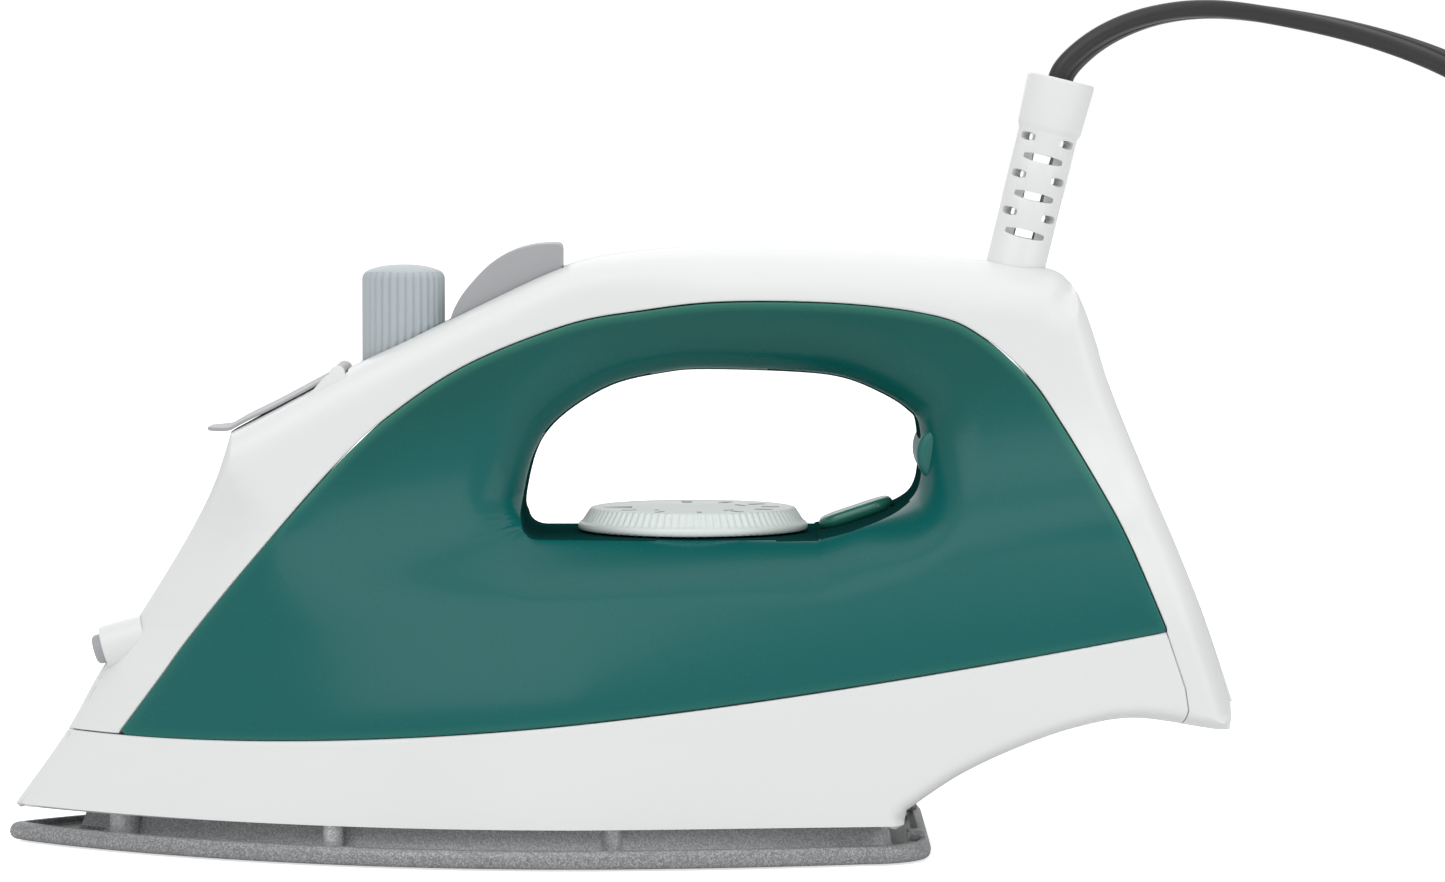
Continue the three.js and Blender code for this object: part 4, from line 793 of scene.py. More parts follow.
@dataclass
class Layout:
    """Places that several pieces share."""

    form: BodyForm
    gap: float = 0.3 * MM
    knob_x: float = -46.6 * MM
    knob_hole: float = 9.55 * MM
    button_x: tuple[float, float] = (-36 * MM, -11.6 * MM)
    button_half: float = 8.25 * MM
    fill_x: float = -72 * MM
    dial_x: float = 17 * MM
    nozzle_z: float = 43.4 * MM
    nozzle_tilt: float = math.radians(15.7)
    hinge: tuple[float, float] = (-60.4 * MM, 103.608 * MM)
    guard_base: tuple[float, float, float] = (88 * MM, 0.0, 127.2 * MM)
    guard_lean: float = math.radians(13.7)
    guard_radius: float = 6.5 * MM
    lens_at: tuple[float, float, float] = (53.2 * MM, 0.0, 71.35 * MM)
    lens_slope: float = math.atan2(6, 17.9)
    cap_at: tuple[float, float, float] = (69.1 * MM, 0.0, 85.9 * MM)
    heel: Chain = field(default_factory=lambda: chain([
        (133.5, 33.6), (127.8, 51.2), (121.9, 66.5), (116.1, 80.2), (109.5, 96.5), (105.3, 108)]))

    @property
    def guard(self) -> Matrix:
        """The matrix that takes the guard's own axis to its place."""
        return aimed(self.guard_base, (math.sin(self.guard_lean), 0, math.cos(self.guard_lean)))

    @property
    def lens(self) -> Matrix:
        """The matrix that takes +Z to the lens's normal."""
        return aimed(self.lens_at, (-math.sin(self.lens_slope), 0, math.cos(self.lens_slope)))

    @property
    def nozzle(self) -> Matrix:
        """The matrix that takes +Z to the spray nozzle's axis, towards the nose."""
        x = float(np.interp(self.nozzle_z, self.form.nose[:, 1], self.form.nose[:, 0]))
        return aimed((x, 0, self.nozzle_z), (-math.cos(self.nozzle_tilt), 0, -math.sin(self.nozzle_tilt)))

    def top_z(self, x: float) -> float:
        """Returns the height of the housing's top line."""
        line = spline(self.form.slope, 200)
        return float(np.interp(x, line[:, 0], line[:, 1]))

    def heel_window(self, grow: float) -> bpy.types.Object:
        """Makes the tapered block that the heel plate fits, grown by a clearance."""
        foot, head = self.heel[0][1] - grow, self.heel[-1][1] + grow
        low, high = 30 * MM + grow, 11 * MM + grow
        outline = np.array([[-low, foot], [low, foot], [high, head], [-high, head]])
        return prism("window", outline, 90 * MM, 150 * MM, "yz")


# ---- housing ---------------------------------------------------------------------------------------


@dataclass
class Tank:
    """The tinted water tank with the handle's inner side."""

    form: BodyForm
    layout: Layout
    wall: float = 1.6 * MM
    # Width of the band of painted edge highlight beside the seam.
    thin: float = 2.2 * MM

    def build(self) -> None:
        """Builds and dresses the tank."""
        seam = np.vstack([spline(self.form.tank_seam, 260), self.form.base_seam(220)[:-1]])
        outer = np.vstack([seam, seam[:1]])
        steps = np.linspace(0, 1, 46)[1:-1] ** 1.15
        places = self.form.grid(self.form.opening(170), seam, steps, (0.0, 0.15 * MM))
        tank = self.form.skin("tank_surface", places, [outer], closed=True, bridge=True)
        tank = thicken(tank, self.wall)
        tank = cut(tank, self._tools())
        self._mark_thin(tank, outer)
        dress(tank, TANK, Body.HOUSING, ["water_tank"])
        self._dress_inside(tank)

    def _tools(self) -> list[bpy.types.Object]:
        """Returns the cutters for the shaft, the lens, the knob, the spray pump and the filler."""
        place = self.layout
        pill = moved(prism("pill", pill_outline(17.6 * MM, 10.6 * MM), -0.9 * MM, 6 * MM, "xy"), place.lens)
        return [rod(6.3 * MM, 60 * MM, 72 * MM, Matrix.Translation((place.dial_x, 0, 0))), pill,
                rod(3.3 * MM, 0, 8 * MM, place.lens), rod(3.3 * MM, -8 * MM, 3 * MM, place.lens),
                rod(3.8 * MM, 90 * MM, 110 * MM, Matrix.Translation((place.knob_x, 0, 0))),
                rod(4.8 * MM, 95 * MM, 120 * MM, Matrix.Translation((-24.5 * MM, 0, 0))),
                rod(6.8 * MM, 50 * MM, 100 * MM, Matrix.Translation((place.fill_x, 0, 0)))]

    def _dress_inside(self, tank: bpy.types.Object) -> None:
        """Gives the opening's inner wall its own finish: darker tones as painted shade, and duller gloss."""
        tank.data.materials.append(TANK_INSIDE_PAINTED_SHADE.material())
        centres = np.array([polygon.center for polygon in tank.data.polygons])
        # Faces along the opening get the darker copy of the tank plastic: painted shade.
        inside = nearest(self.form.opening(170), centres[:, 0], centres[:, 2])[0] < 0.4 * MM
        tank.data.polygons.foreach_set("material_index", inside.astype(np.int32))

    def _mark_thin(self, tank: bpy.types.Object, seam: Chain) -> None:
        """Marks how near each point is to the wall's edge, as the weight of the painted edge highlight, stronger
        higher up.
        """
        points = np.empty(len(tank.data.vertices) * 3)
        tank.data.vertices.foreach_get("co", points)
        points = points.reshape(-1, 3)
        away = nearest(seam, points[:, 0], points[:, 2])[0]
        # The painted highlight grows stronger from 60 to 90 mm up.
        low = smoothstep(points[:, 2], 60 * MM, 90 * MM)
        value = (1 - np.clip(away / self.thin, 0, 1)) * (0.25 + 0.75 * low)
        layer = tank.data.attributes.new("thin", "FLOAT", "POINT")
        layer.data.foreach_set("value", value)


@dataclass
class UpperShell:
    """The white housing above the tank: nose, handle top and heel."""

    form: BodyForm
    layout: Layout
    wall: float = 1.6 * MM

    def build(self) -> None:
        """Builds and dresses the shell."""
        form = self.form
        inner = np.vstack([spline(form.tank_seam, 260), form.rear_seam])
        nose = spline(form.nose, EDGE_POINTS)
        foot = np.stack([np.linspace(-108.6, -121, 14) * MM, np.full(14, 24.8 * MM)], 1)
        low = spline(form.overhang, EDGE_POINTS)[1:]
        outer = np.vstack([foot, nose[nose[:, 1] > 24.9 * MM], spline(form.slope, EDGE_POINTS)[1:],
                           spline(form.heel, EDGE_POINTS)[1:], low[low[:, 0] > 122.1 * MM]])
        steps = 1 - (1 - np.linspace(0, 1, 44)[1:-1]) ** 1.9
        places = form.grid(inner, outer, steps, (0.15 * MM, 0.0))
        seam = np.vstack([foot[:1], spline(form.tank_seam, 200)])
        shell = form.skin("upper_shell_surface", places, [seam, form.rear_seam])
        shell = thicken(shell, self.wall)
        shell = cut(shell, self._tools())
        shell = joined("upper_shell_surface", [shell, *self._lugs(), self._nozzle_seat()])
        dress(shell, WHITE, Body.HOUSING, ["upper_shell"])

    def _tools(self) -> list[bpy.types.Object]:
        """Returns the cutters for the knob, button, filler, guard, lid barrel and heel plate."""
        place = self.layout
        x0, x1 = place.button_x
        hinge_x, hinge_z = place.hinge
        half = place.button_half + 0.35 * MM
        upright = Matrix.Translation((place.knob_x, 0, 0))
        return [rod(place.knob_hole, 96 * MM, 140 * MM, upright, 96),
                block((x0 - 0.35 * MM, -half, 0.1), (x1 + 0.35 * MM, half, 0.14)),
                rod(8.5 * MM, 80 * MM, 130 * MM, Matrix.Translation((place.fill_x, 0, 0)), 64),
                rod(place.guard_radius + 0.25 * MM, -8 * MM, 8 * MM, place.guard, 64),
                block((hinge_x - 2.2 * MM, -12 * MM, hinge_z - 1.9 * MM),
                      (hinge_x + 2.2 * MM, 12 * MM, hinge_z + 4 * MM)),
                place.heel_window(0.25 * MM)]

    def _lugs(self) -> list[bpy.types.Object]:
        """Returns the two lugs that hold the lid's pin."""
        x, z = self.layout.hinge
        turn = np.linspace(0, math.pi, 20)
        outline = np.vstack([np.stack([x + 1.7 * MM * np.cos(turn), z + 1.7 * MM * np.sin(turn)], 1),
                             [[x - 3.2 * MM, z - 1.2 * MM], [x - 7 * MM, z - 5.6 * MM], [x + 3 * MM, z - 3 * MM]]])
        return [bevel(prism("lug", outline, min(a, b) * MM, max(a, b) * MM), 0.6 * MM)
                for a, b in ((12, 14.5), (-12, -14.5))]

    def _nozzle_seat(self) -> bpy.types.Object:
        """Returns the ring around the spray nozzle."""
        profile = [(3.6, -6), (4.8, -6), (4.8, 3.1), (4.7, 3.5), (4.4, 3.6), (3.9, 3.6), (3.6, 3.3), (3.6, -6)]
        return moved(tube_of(in_metres(profile), 56), self.layout.nozzle)


def tube_of(profile: Sequence[tuple[float, float]], sides: int) -> bpy.types.Object:
    """Makes a ring turned about Z from a closed profile."""
    angle = np.linspace(0, 2 * math.pi, sides, endpoint=False)
    rings = np.array([np.stack([r * np.cos(angle), r * np.sin(angle), np.full(sides, z)], 1)
                      for r, z in profile[:-1]])
    return mesh_object("ring", rings.reshape(-1, 3), ring_faces(len(rings), sides, closed=True))


@dataclass
class Skirt:
    """The white skirt around the soleplate casting."""

    form: BodyForm
    layout: Layout
    wall: float = 1.6 * MM

    def build(self) -> None:
        """Builds and dresses the skirt."""
        form = self.form
        x = np.linspace(-108, 118.5, 160) * MM
        seam = np.stack([x, form.seam_z(x)], 1)
        inner = np.vstack([[[-121.4 * MM, 24.5 * MM]], seam])
        nose = spline(form.nose, EDGE_POINTS)
        nose = nose[nose[:, 1] < 24.4 * MM][::-1]
        mouth = np.stack([np.linspace(-132.3, 62.4, 230) * MM, np.full(230, form.mouth)], 1)
        over = spline(form.overhang, EDGE_POINTS)[::-1]
        over = np.vstack([over[over[:, 0] < 121.7 * MM], form.rear_seam[-1:]])
        rear = dense(form.rear_seam[::-1])[1:]
        outer = np.vstack([nose, mouth, over, rear])
        steps = 1 - (1 - np.linspace(0, 1, 34)[1:-1]) ** 1.5
        places = form.grid(inner, outer, steps, (0.15 * MM, 0.0))
        skirt = form.skin("skirt_surface", places, [inner, form.rear_seam])
        skirt = cut(thicken(skirt, self.wall), [self.layout.heel_window(0.25 * MM)])
        dress(skirt, WHITE, Body.HOUSING, ["skirt"])


@dataclass
class HeelPlate:
    """The plate on the heel that the iron stands on, with its screw hole."""

    layout: Layout
    depth: float = 2.6 * MM

    def build(self) -> None:
        """Builds and dresses the plate."""
        line = spline(self.layout.heel, 40)
        slope = np.gradient(line, axis=0)
        normal = np.stack([slope[:, 1], -slope[:, 0]], 1) / np.hypot(slope[:, 0], slope[:, 1])[:, None]
        share = (line[:, 1] - line[0, 1]) / (line[-1, 1] - line[0, 1])
        rings = []
        for place, out, t in zip(line, normal, share):
            half = (30 + (11 - 30) * t) * MM
            y = np.concatenate([np.linspace(-1, 1, 33), np.linspace(1, -1, 33)]) * half
            depth = np.concatenate([np.full(33, 0.0), np.full(33, -self.depth)])
            rings.append(np.stack([place[0] + out[0] * depth, y, place[1] + out[1] * depth], 1))
        plate = loft("heel_plate_surface", np.array(rings))
        middle = (self.layout.heel[2] + self.layout.heel[3]) / 2
        rise = self.layout.heel[3] - self.layout.heel[2]
        matrix = aimed((middle[0], 0, middle[1]), (rise[1], 0, -rise[0]))
        plate = cut(plate, [rod(3.3 * MM, -1.8 * MM, 4 * MM, matrix), rod(1.8 * MM, -8 * MM, 4 * MM, matrix)])
        dress(bevel(plate, 0.5 * MM), WHITE, Body.HOUSING, ["heel_plate"])


@dataclass
class HandleCap:
    """The oval cap over the screw at the rear of the handle opening."""

    layout: Layout
    wide: float = 3.3
    tall: float = 5.2
    half: float = 14.8

    def build(self) -> None:
        """Builds and dresses the cap."""
        turn = np.linspace(0, 2 * math.pi, 64, endpoint=False)
        end = np.linspace(0, math.pi / 2, 8)
        along = np.concatenate([-self.half - 1.2 * np.cos(end), self.half + 1.2 * np.sin(end)])
        scale = np.concatenate([np.sin(end), np.cos(end)]) * 0.5 + 0.5
        rings = [np.stack([self.wide * k * np.cos(turn), np.full(64, y), self.tall * k * np.sin(turn)], 1)
                 for y, k in zip(along, scale)]
        cap = loft("handle_cap_surface", np.array(rings) * MM, 40)
        cap = moved(cap, Matrix.Translation(self.layout.cap_at))
        dress(cap, CAP, Body.HOUSING, ["handle_screw_cap"])


# ---- soleplate --------------------------------------------------------------------------------------


@dataclass
class SolePlate:
    """The soleplate: a coated rim, a trough behind it and the casting under the skirt."""

    tip: float = -134.0
    heel: float = 68.5
    half: float = 54.0
    corner: float = 14.0
    wide_x: float = -8.0

    def build(self) -> None:
        """Builds and dresses the soleplate and its smooth face."""
        rim = [(0, 1.9, 1.3), (0.12, 1.2, 0.75), (0.4, 0.7, 0.4), (0.9, 0.25, 0.12), (1.6, 0.02, 0), (2.4, 0.1, 0.05),
               (3.1, 0.45, 0.3), (3.6, 0.95, 0.7), (3.88, 1.6, 1.15), (4, 2.4, 1.7), (3.9, 3.1, 2.3), (3.5, 3.6, 2.7),
               (2.6, 3.9, 3.0), (2.2, 4.6, 3.4), (2.1, 9, 5.6), (2.3, 15, 8.2), (3.2, 16, 8.7), (11, 18.6, 10.2),
               (12.1, 19.4, 10.8), (12.6, 21, 11.5)]
        rings = np.array([self._ring(z, a, b) for z, a, b in rim]) * MM
        plate = loft("soleplate_surface", rings, 40)
        tools = [rod(1.5 * MM, -2 * MM, 4 * MM, Matrix.Translation(place), 24) for place in self._vents()]
        plate = cut(plate, tools)
        plate = joined("soleplate_surface", [plate, *self._bosses()])
        dress(plate, SOLE_RIM, Body.HOUSING, ["soleplate"])
        plate.data.materials.append(SOLE_FACE.material())
        plate.data.materials.append(SOLE_CASTING_PAINTED_LIGHT.material())
        for polygon in plate.data.polygons:
            if polygon.normal.z < -0.98 and polygon.center.z < 0.1 * MM:
                polygon.material_index = 1
            # Casting faces behind the rim take the lighter copy of the coating: painted light.
            elif polygon.center.z > 2.3 * MM and polygon.normal.z < 0.6 and self._inside(polygon.center):
                polygon.material_index = 2

    def _inside(self, place: Vector) -> bool:
        """Returns whether a place lies behind the rim, on the casting."""
        x, y = place.x / MM, abs(place.y) / MM
        ring = self._ring(0, 4.2, 3.2)
        side = ring[1:len(ring) // 2 + 1]
        return y < float(np.interp(x, side[:, 0], -side[:, 1])) and self.tip + 4.2 < x < self.heel - 3.2

    def _ring(self, z: float, tip_inset: float, side_inset: float) -> np.ndarray:
        """Returns the plan of the plate at a height, smaller by an inset at the tip and at the sides."""
        tip, end = self.tip + tip_inset, self.heel - side_inset
        corner = self.corner - side_inset / 2
        width = self.half - side_inset

        def half(x: np.ndarray) -> np.ndarray:
            """Returns the half width along the plate."""
            front = width * (1 - np.clip((self.wide_x - x) / (self.wide_x - tip), 0, 1) ** 2) ** 0.9
            return np.where(x < self.wide_x, front, width - 9.5 * (np.maximum(x - self.wide_x, 0) / 64) ** 1.8)

        x = tip + (end - corner - tip) * np.linspace(0, 1, 91)[1:] ** 1.8
        turn = np.linspace(0, math.pi / 2, 15)[1:]
        edge = float(half(np.array([end - corner]))[0]) - corner
        side = np.vstack([np.stack([x, half(x)], 1),
                          np.stack([end - corner + corner * np.sin(turn), edge + corner * np.cos(turn)], 1)])
        plan = np.vstack([[[tip, 0]], side * [1, -1], side[::-1]])
        return np.hstack([plan, np.full((len(plan), 1), float(z))])

    @staticmethod
    def _vents() -> list[tuple[float, float, float]]:
        """Returns the places of the steam vents, in a V that opens towards the heel."""
        places = []
        for i in range(9):
            k = math.ceil(i / 2)
            side = 0 if i == 0 else (1 if i % 2 else -1)
            places.append(((-62 + 13 * k) * MM, side * min(1.5 + 4.4 * k, 15) * MM, 0.0))
        return places

    def _bosses(self) -> list[bpy.types.Object]:
        """Returns the casting's bosses and feet between the rim and the skirt."""
        made = []
        for x, y, radius, low, high in ((-107.3, 11.6, 3.4, 2, 11), (57.6, 31.2, 1.6, 2, 12), (-60, 38.6, 2.2, 2, 11),
                                        (0, 44.4, 2.2, 2, 11)):
            for side in (1, -1):
                made.append(rod(radius * MM, low * MM, high * MM, Matrix.Translation((x * MM, side * y * MM, 0)), 32,
                                0.5 * MM))
        for side in (1, -1):
            low, high = sorted((side * 23 * MM, side * 29 * MM))
            made.append(bevel(block((63.4 * MM, low, 3.2 * MM), (67.2 * MM, high, 5.2 * MM)), 0.4 * MM))
        return made


# ---- controls ---------------------------------------------------------------------------------------


@dataclass
class Dial:
    """The heat dial: a flat disc with a finely ribbed rim and printed steps."""

    layout: Layout
    foot: float = 68.65
    radius: float = 25.3
    ribs: int = 90
    depth: float = 0.5

    def build(self) -> None:
        """Builds and dresses the dial and its print."""
        sides = self.ribs * 8
        wave = 0.5 - 0.5 * np.cos(np.linspace(0, 2 * math.pi * self.ribs, sides, endpoint=False))

        def ribbed(radius: float) -> np.ndarray:
            """Returns the ribs' factors at a radius."""
            share = min(max((radius / MM - 22.3) / 0.4, 0), 1) * min(max((24.7 - radius / MM) / 0.2, 0), 1)
            return 1 - share * self.depth * wave**2 * MM / radius

        shape = [(0.5, 0), (24.2, 0), (25.0, 0.2), (self.radius, 0.7), (25.2, 1.4), (24.9, 1.8), (24.5, 2.0),
                 (24.1, 2.5), (23.3, 3.7), (22.8, 4.5), (22.4, 4.9), (21.8, 5.08), (21.2, 5.04), (20.7, 4.86),
                 (8, 4.82), (0.5, 4.82)]
        dial = turned("dial_surface", in_metres(shape), sides, 48, ribbed)
        place = Matrix.Translation((self.layout.dial_x, 0, self.foot * MM))
        dress(moved(dial, place), MINT, Body.DIAL, ["temperature_dial"])
        dress(moved(self._print(), place), MARK, Body.DIAL)

    def _print(self) -> bpy.types.Object:
        """Returns the print: step bars, dots and a pointed mark that faces the nose."""
        arrow = np.array([[-19.6, 0], [-13.4, -2.3], [-13.4, 2.3]]) * MM
        parts = [prism("arrow", arrow, 4.7 * MM, 4.92 * MM, "xy")]
        for index in range(9):
            angle = math.radians(-145 + 30 * index)
            turn = Matrix.Rotation(angle, 4, "Z")
            width = (0.5 + 0.22 * index) * MM
            parts.append(block((15.2 * MM, -width / 2, 4.7 * MM), (19 * MM, width / 2, 4.92 * MM), turn))
        for index in range(3):
            for dot in range(index + 1):
                angle = math.radians(-130 + 80 * index + 7 * (dot - index / 2))
                place = (12.2 * MM * math.cos(angle), 12.2 * MM * math.sin(angle), 0)
                parts.append(rod(0.55 * MM, 4.7 * MM, 4.92 * MM, Matrix.Translation(place), 20))
        return joined("dial_print", parts)


@dataclass
class SteamKnob:
    """The fluted steam knob on the handle's slope."""

    layout: Layout
    foot: float = 103.6
    top: float = 127.0
    flutes: int = 30
    depth: float = 0.5

    def build(self) -> None:
        """Builds and dresses the knob."""
        sides = self.flutes * 10
        wave = np.abs(np.sin(np.linspace(0, math.pi * self.flutes, sides, endpoint=False)))

        def fluted(radius: float) -> np.ndarray:
            """Returns the flutes' factors at a radius."""
            share = min(max((radius / MM - 8.3) / 0.5, 0), 1)
            return 1 - share * self.depth * (1 - wave) * MM / radius

        shape = [(0.3, self.foot), (8.6, self.foot), (9.0, self.foot + 0.5), (9.1, self.foot + 1),
                 (9.1, self.top - 3.1), (9.0, self.top - 2.5), (8.7, self.top - 1.95), (8.3, self.top - 1.55),
                 (7.6, self.top - 1.15), (6.4, self.top - 0.75), (4.8, self.top - 0.35), (2.6, self.top - 0.08),
                 (0.3, self.top)]
        knob = turned("steam_knob_surface", in_metres(shape), sides, 50, fluted)
        knob = cut(knob, [rod(1.8 * MM, (self.foot - 2) * MM, (self.foot + 8) * MM, Matrix())])
        knob = moved(knob, Matrix.Translation((self.layout.knob_x, 0, 0)))
        dress(knob, GREY_BLUE, Body.KNOB, ["steam_knob"])


@dataclass
class SprayButton:
    """The fin-shaped spray button."""

    layout: Layout
    travel: float = 4 * MM
    crown: Chain = field(default_factory=lambda: chain([
        (-36, 113.6), (-35.7, 116.2), (-33.8, 120), (-31, 123.6), (-27.2, 127.4), (-22.6, 130.1), (-17.6, 131.5),
        (-12.9, 131.8)]))

    def build(self) -> None:
        """Builds and dresses the button."""
        x0, x1 = self.layout.button_x
        half = self.layout.button_half
        corner = chain([(-12.2, 131.6), (-11.75, 131.1), (-11.6, 130.3)])
        foot = np.array([[x1, self.layout.top_z(x1) - 1.3 * MM], [x0, self.layout.top_z(x0) - 2.2 * MM]])
        outline = np.vstack([spline(self.crown, 30), corner, foot])
        button = prism("spray_button_surface", outline, -half, half)
        bevel(button, 1.5 * MM, 6, 60)
        low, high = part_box("pump_barrel")
        pump = Matrix.Translation(((low[0] + high[0]) / 2, 0, 0))
        button = cut(button, [rod((high[0] - low[0]) / 2 + 0.8 * MM, low[2], high[2] + self.travel + 0.8 * MM, pump)])
        dress(button, GREY, Body.BUTTON, ["spray_button"])


@dataclass
class FillLid:
    """The thin lid over the fill port, with a lip at its tip and a barrel on its hinge pin."""

    layout: Layout
    thickness: float = 1.1

    def build(self) -> None:
        """Builds and dresses the lid."""
        x = np.concatenate([[-89.6, -89.45, -89.1, -88.5], np.linspace(-87.4, -61.2, 30), [-60.6, -60.3]])
        line = np.interp(x, [-90, -84.3, -56.2], [90.1, 90.5, 105.5]) + 0.35
        line += 0.3 * np.exp(-((x + 80.5) / 4) ** 2)
        half = np.interp(x, [-89.6, -89.1, -88, -86.6, -84, -80, -74.6, -60],
                         [3.4, 4.8, 6.6, 8, 9.6, 10.8, 11.6, 11.7])
        thick = np.interp(x, [-89.6, -89.2, -88.4, -61, -60.3], [0.5, 1.0, self.thickness, self.thickness, 1.2])
        turn = np.linspace(0, 2 * math.pi, 56, endpoint=False)
        rings = []
        for place, height, wide, deep in zip(x, line, half, thick):
            y = wide * np.sign(np.cos(turn)) * np.abs(np.cos(turn)) ** 0.3
            z = deep / 2 * np.sign(np.sin(turn)) * np.abs(np.sin(turn)) ** 0.55
            crown = 0.6 * (1 - (y / 11.7) ** 2)
            rings.append(np.stack([np.full(56, place), y, height + z + crown], 1))
        plate = loft("lid", np.array(rings) * MM, 40)
        hx, hz = self.layout.hinge
        ring = [(1.15, -11.7), (1.6, -11.7), (1.6, 11.7), (1.15, 11.7), (1.15, -11.7)]
        barrel = moved(tube_of(in_metres(ring), 32), aimed((hx, 0, hz), (0, 1, 0)))
        lid = joined("fill_lid_surface", [plate, barrel])
        dress(lid, GREY, Body.LID, ["fill_cover"])


@dataclass
class SprayNozzle:
    """The spray nozzle in its ring on the nose."""

    layout: Layout

    def build(self) -> None:
        """Builds and dresses the nozzle."""
        shape = [(0.6, -3.4), (3.3, -3.4), (3.3, 4.9), (3.1, 5.4), (2.6, 5.75), (1.7, 5.8), (1.5, 5.3), (0.7, 5.2),
                 (0.6, 4.6)]
        nozzle = moved(turned("spray_nozzle_surface", in_metres(shape), 48), self.layout.nozzle)
        dress(nozzle, GREY, Body.HOUSING, ["spray_nozzle"])


@dataclass
class PilotLens:
    """The pill-shaped lens of the pilot light."""

    layout: Layout

    def build(self) -> None:
        """Builds and dresses the lens."""
        lens = prism("pilot_lens_surface", pill_outline(17 * MM, 10 * MM), -0.5 * MM, 2.6 * MM, "xy")
        lens = moved(bevel(lens, 1.7 * MM, 7, 60), self.layout.lens)
        dress(lens, LENS, Body.HOUSING, ["pilot_light_lens"])


# ---- mains lead -------------------------------------------------------------------------------------


@dataclass
class CordGuard:
    """The slotted guard that the lead leaves the handle through."""

    layout: Layout
    length: float = 41.6
    collar: float = 11.0
    pitch: float = 4.2

    def build(self) -> None:
        """Builds and dresses the guard."""
        top = self.length
        profile = [(3.9, -6.6), (7.2, -6.6), (7.4, -6.4), (7.4, -5.1), (6.5, -4.9), (6.5, top - 12.4),
                   (6.62, top - 11.9), (7.0, top - 11.2), (7.05, top - 10.4), (7.45, top - 0.7), (7.38, top - 0.25),
                   (7.1, top), (4.4, top), (4.05, top - 0.15), (3.9, top - 0.6), (3.9, -6.6)]
        guard = tube_of(in_metres(profile), 72)
        guard = moved(cut(guard, self._slots()), self.layout.guard)
        dress(bevel(guard, 0.22 * MM, 2, 50), WHITE, Body.HOUSING, ["cord_guard"])

    def _slots(self) -> list[bpy.types.Object]:
        """Returns the cutters of the slots, in rows that alternate their directions."""
        made = []
        for row in range(6):
            z = self.length - self.collar - 2.8 - self.pitch * row
            turns, half = ((45, 135, 225, 315), 2.1) if row % 2 == 0 else ((90, 270), 4.3)
            for turn in turns:
                outline = pill_outline(1.8 * MM, 1.0 * MM, 8)
                outline = np.stack([outline[:, 1] / (0.5 * MM) * half * MM, outline[:, 0]], 1)
                slot = prism("slot", outline, 3.2 * MM, 9 * MM, "yz")
                place = Matrix.Translation((0, 0, z * MM)) @ Matrix.Rotation(math.radians(turn), 4, "Z")
                made.append(moved(slot, place))
        return made


@dataclass
class Coil:
    """The coil that the lead's spare length is wound into."""

    centre: tuple[float, float] = (245.0, 0.0)
    radius: float = 38.0
    spread: float = 3.45
    foot: float = 3.6
    pitch: float = 4.4
    step: float = 4.0

    def path(self, arrival: float) -> np.ndarray:
        """Returns the coil's centreline, from the top down, in millimetres.

        Args:
            arrival: Height at which the lead comes down on the coil.

        Returns:
            Points along all turns.
        """
        slots = [(1, 3), (-1, 3), (-1, 2), (1, 2), (1, 1), (-1, 1), (-1, 0), (1, 0)]
        turn = np.arange(-77 + self.step, 180 + 360 * 7 + self.step / 2, self.step)
        place = np.maximum((turn - 180) / 360, -1e-9)
        whole = np.floor(place).astype(int)
        share = smoothstep((place - whole) * 360, 0, 55)
        share = np.where(whole < 0, 1.0, share)
        before = np.array([slots[max(k, 0)] for k in whole], float)
        after = np.array([slots[min(k + 1, 7)] for k in whole], float)
        now = before + (after - before) * share[:, None]
        radius = self.radius + self.spread * now[:, 0]
        z = self.foot + self.pitch * now[:, 1]
        top = self.foot + 3 * self.pitch
        z = np.where(turn < 0, top + (arrival - top) * (1 - smoothstep(turn, -77, -5)), z)
        angle = np.radians(turn)
        return np.stack([self.centre[0] + radius * np.cos(angle), self.centre[1] + radius * np.sin(angle), z], 1)


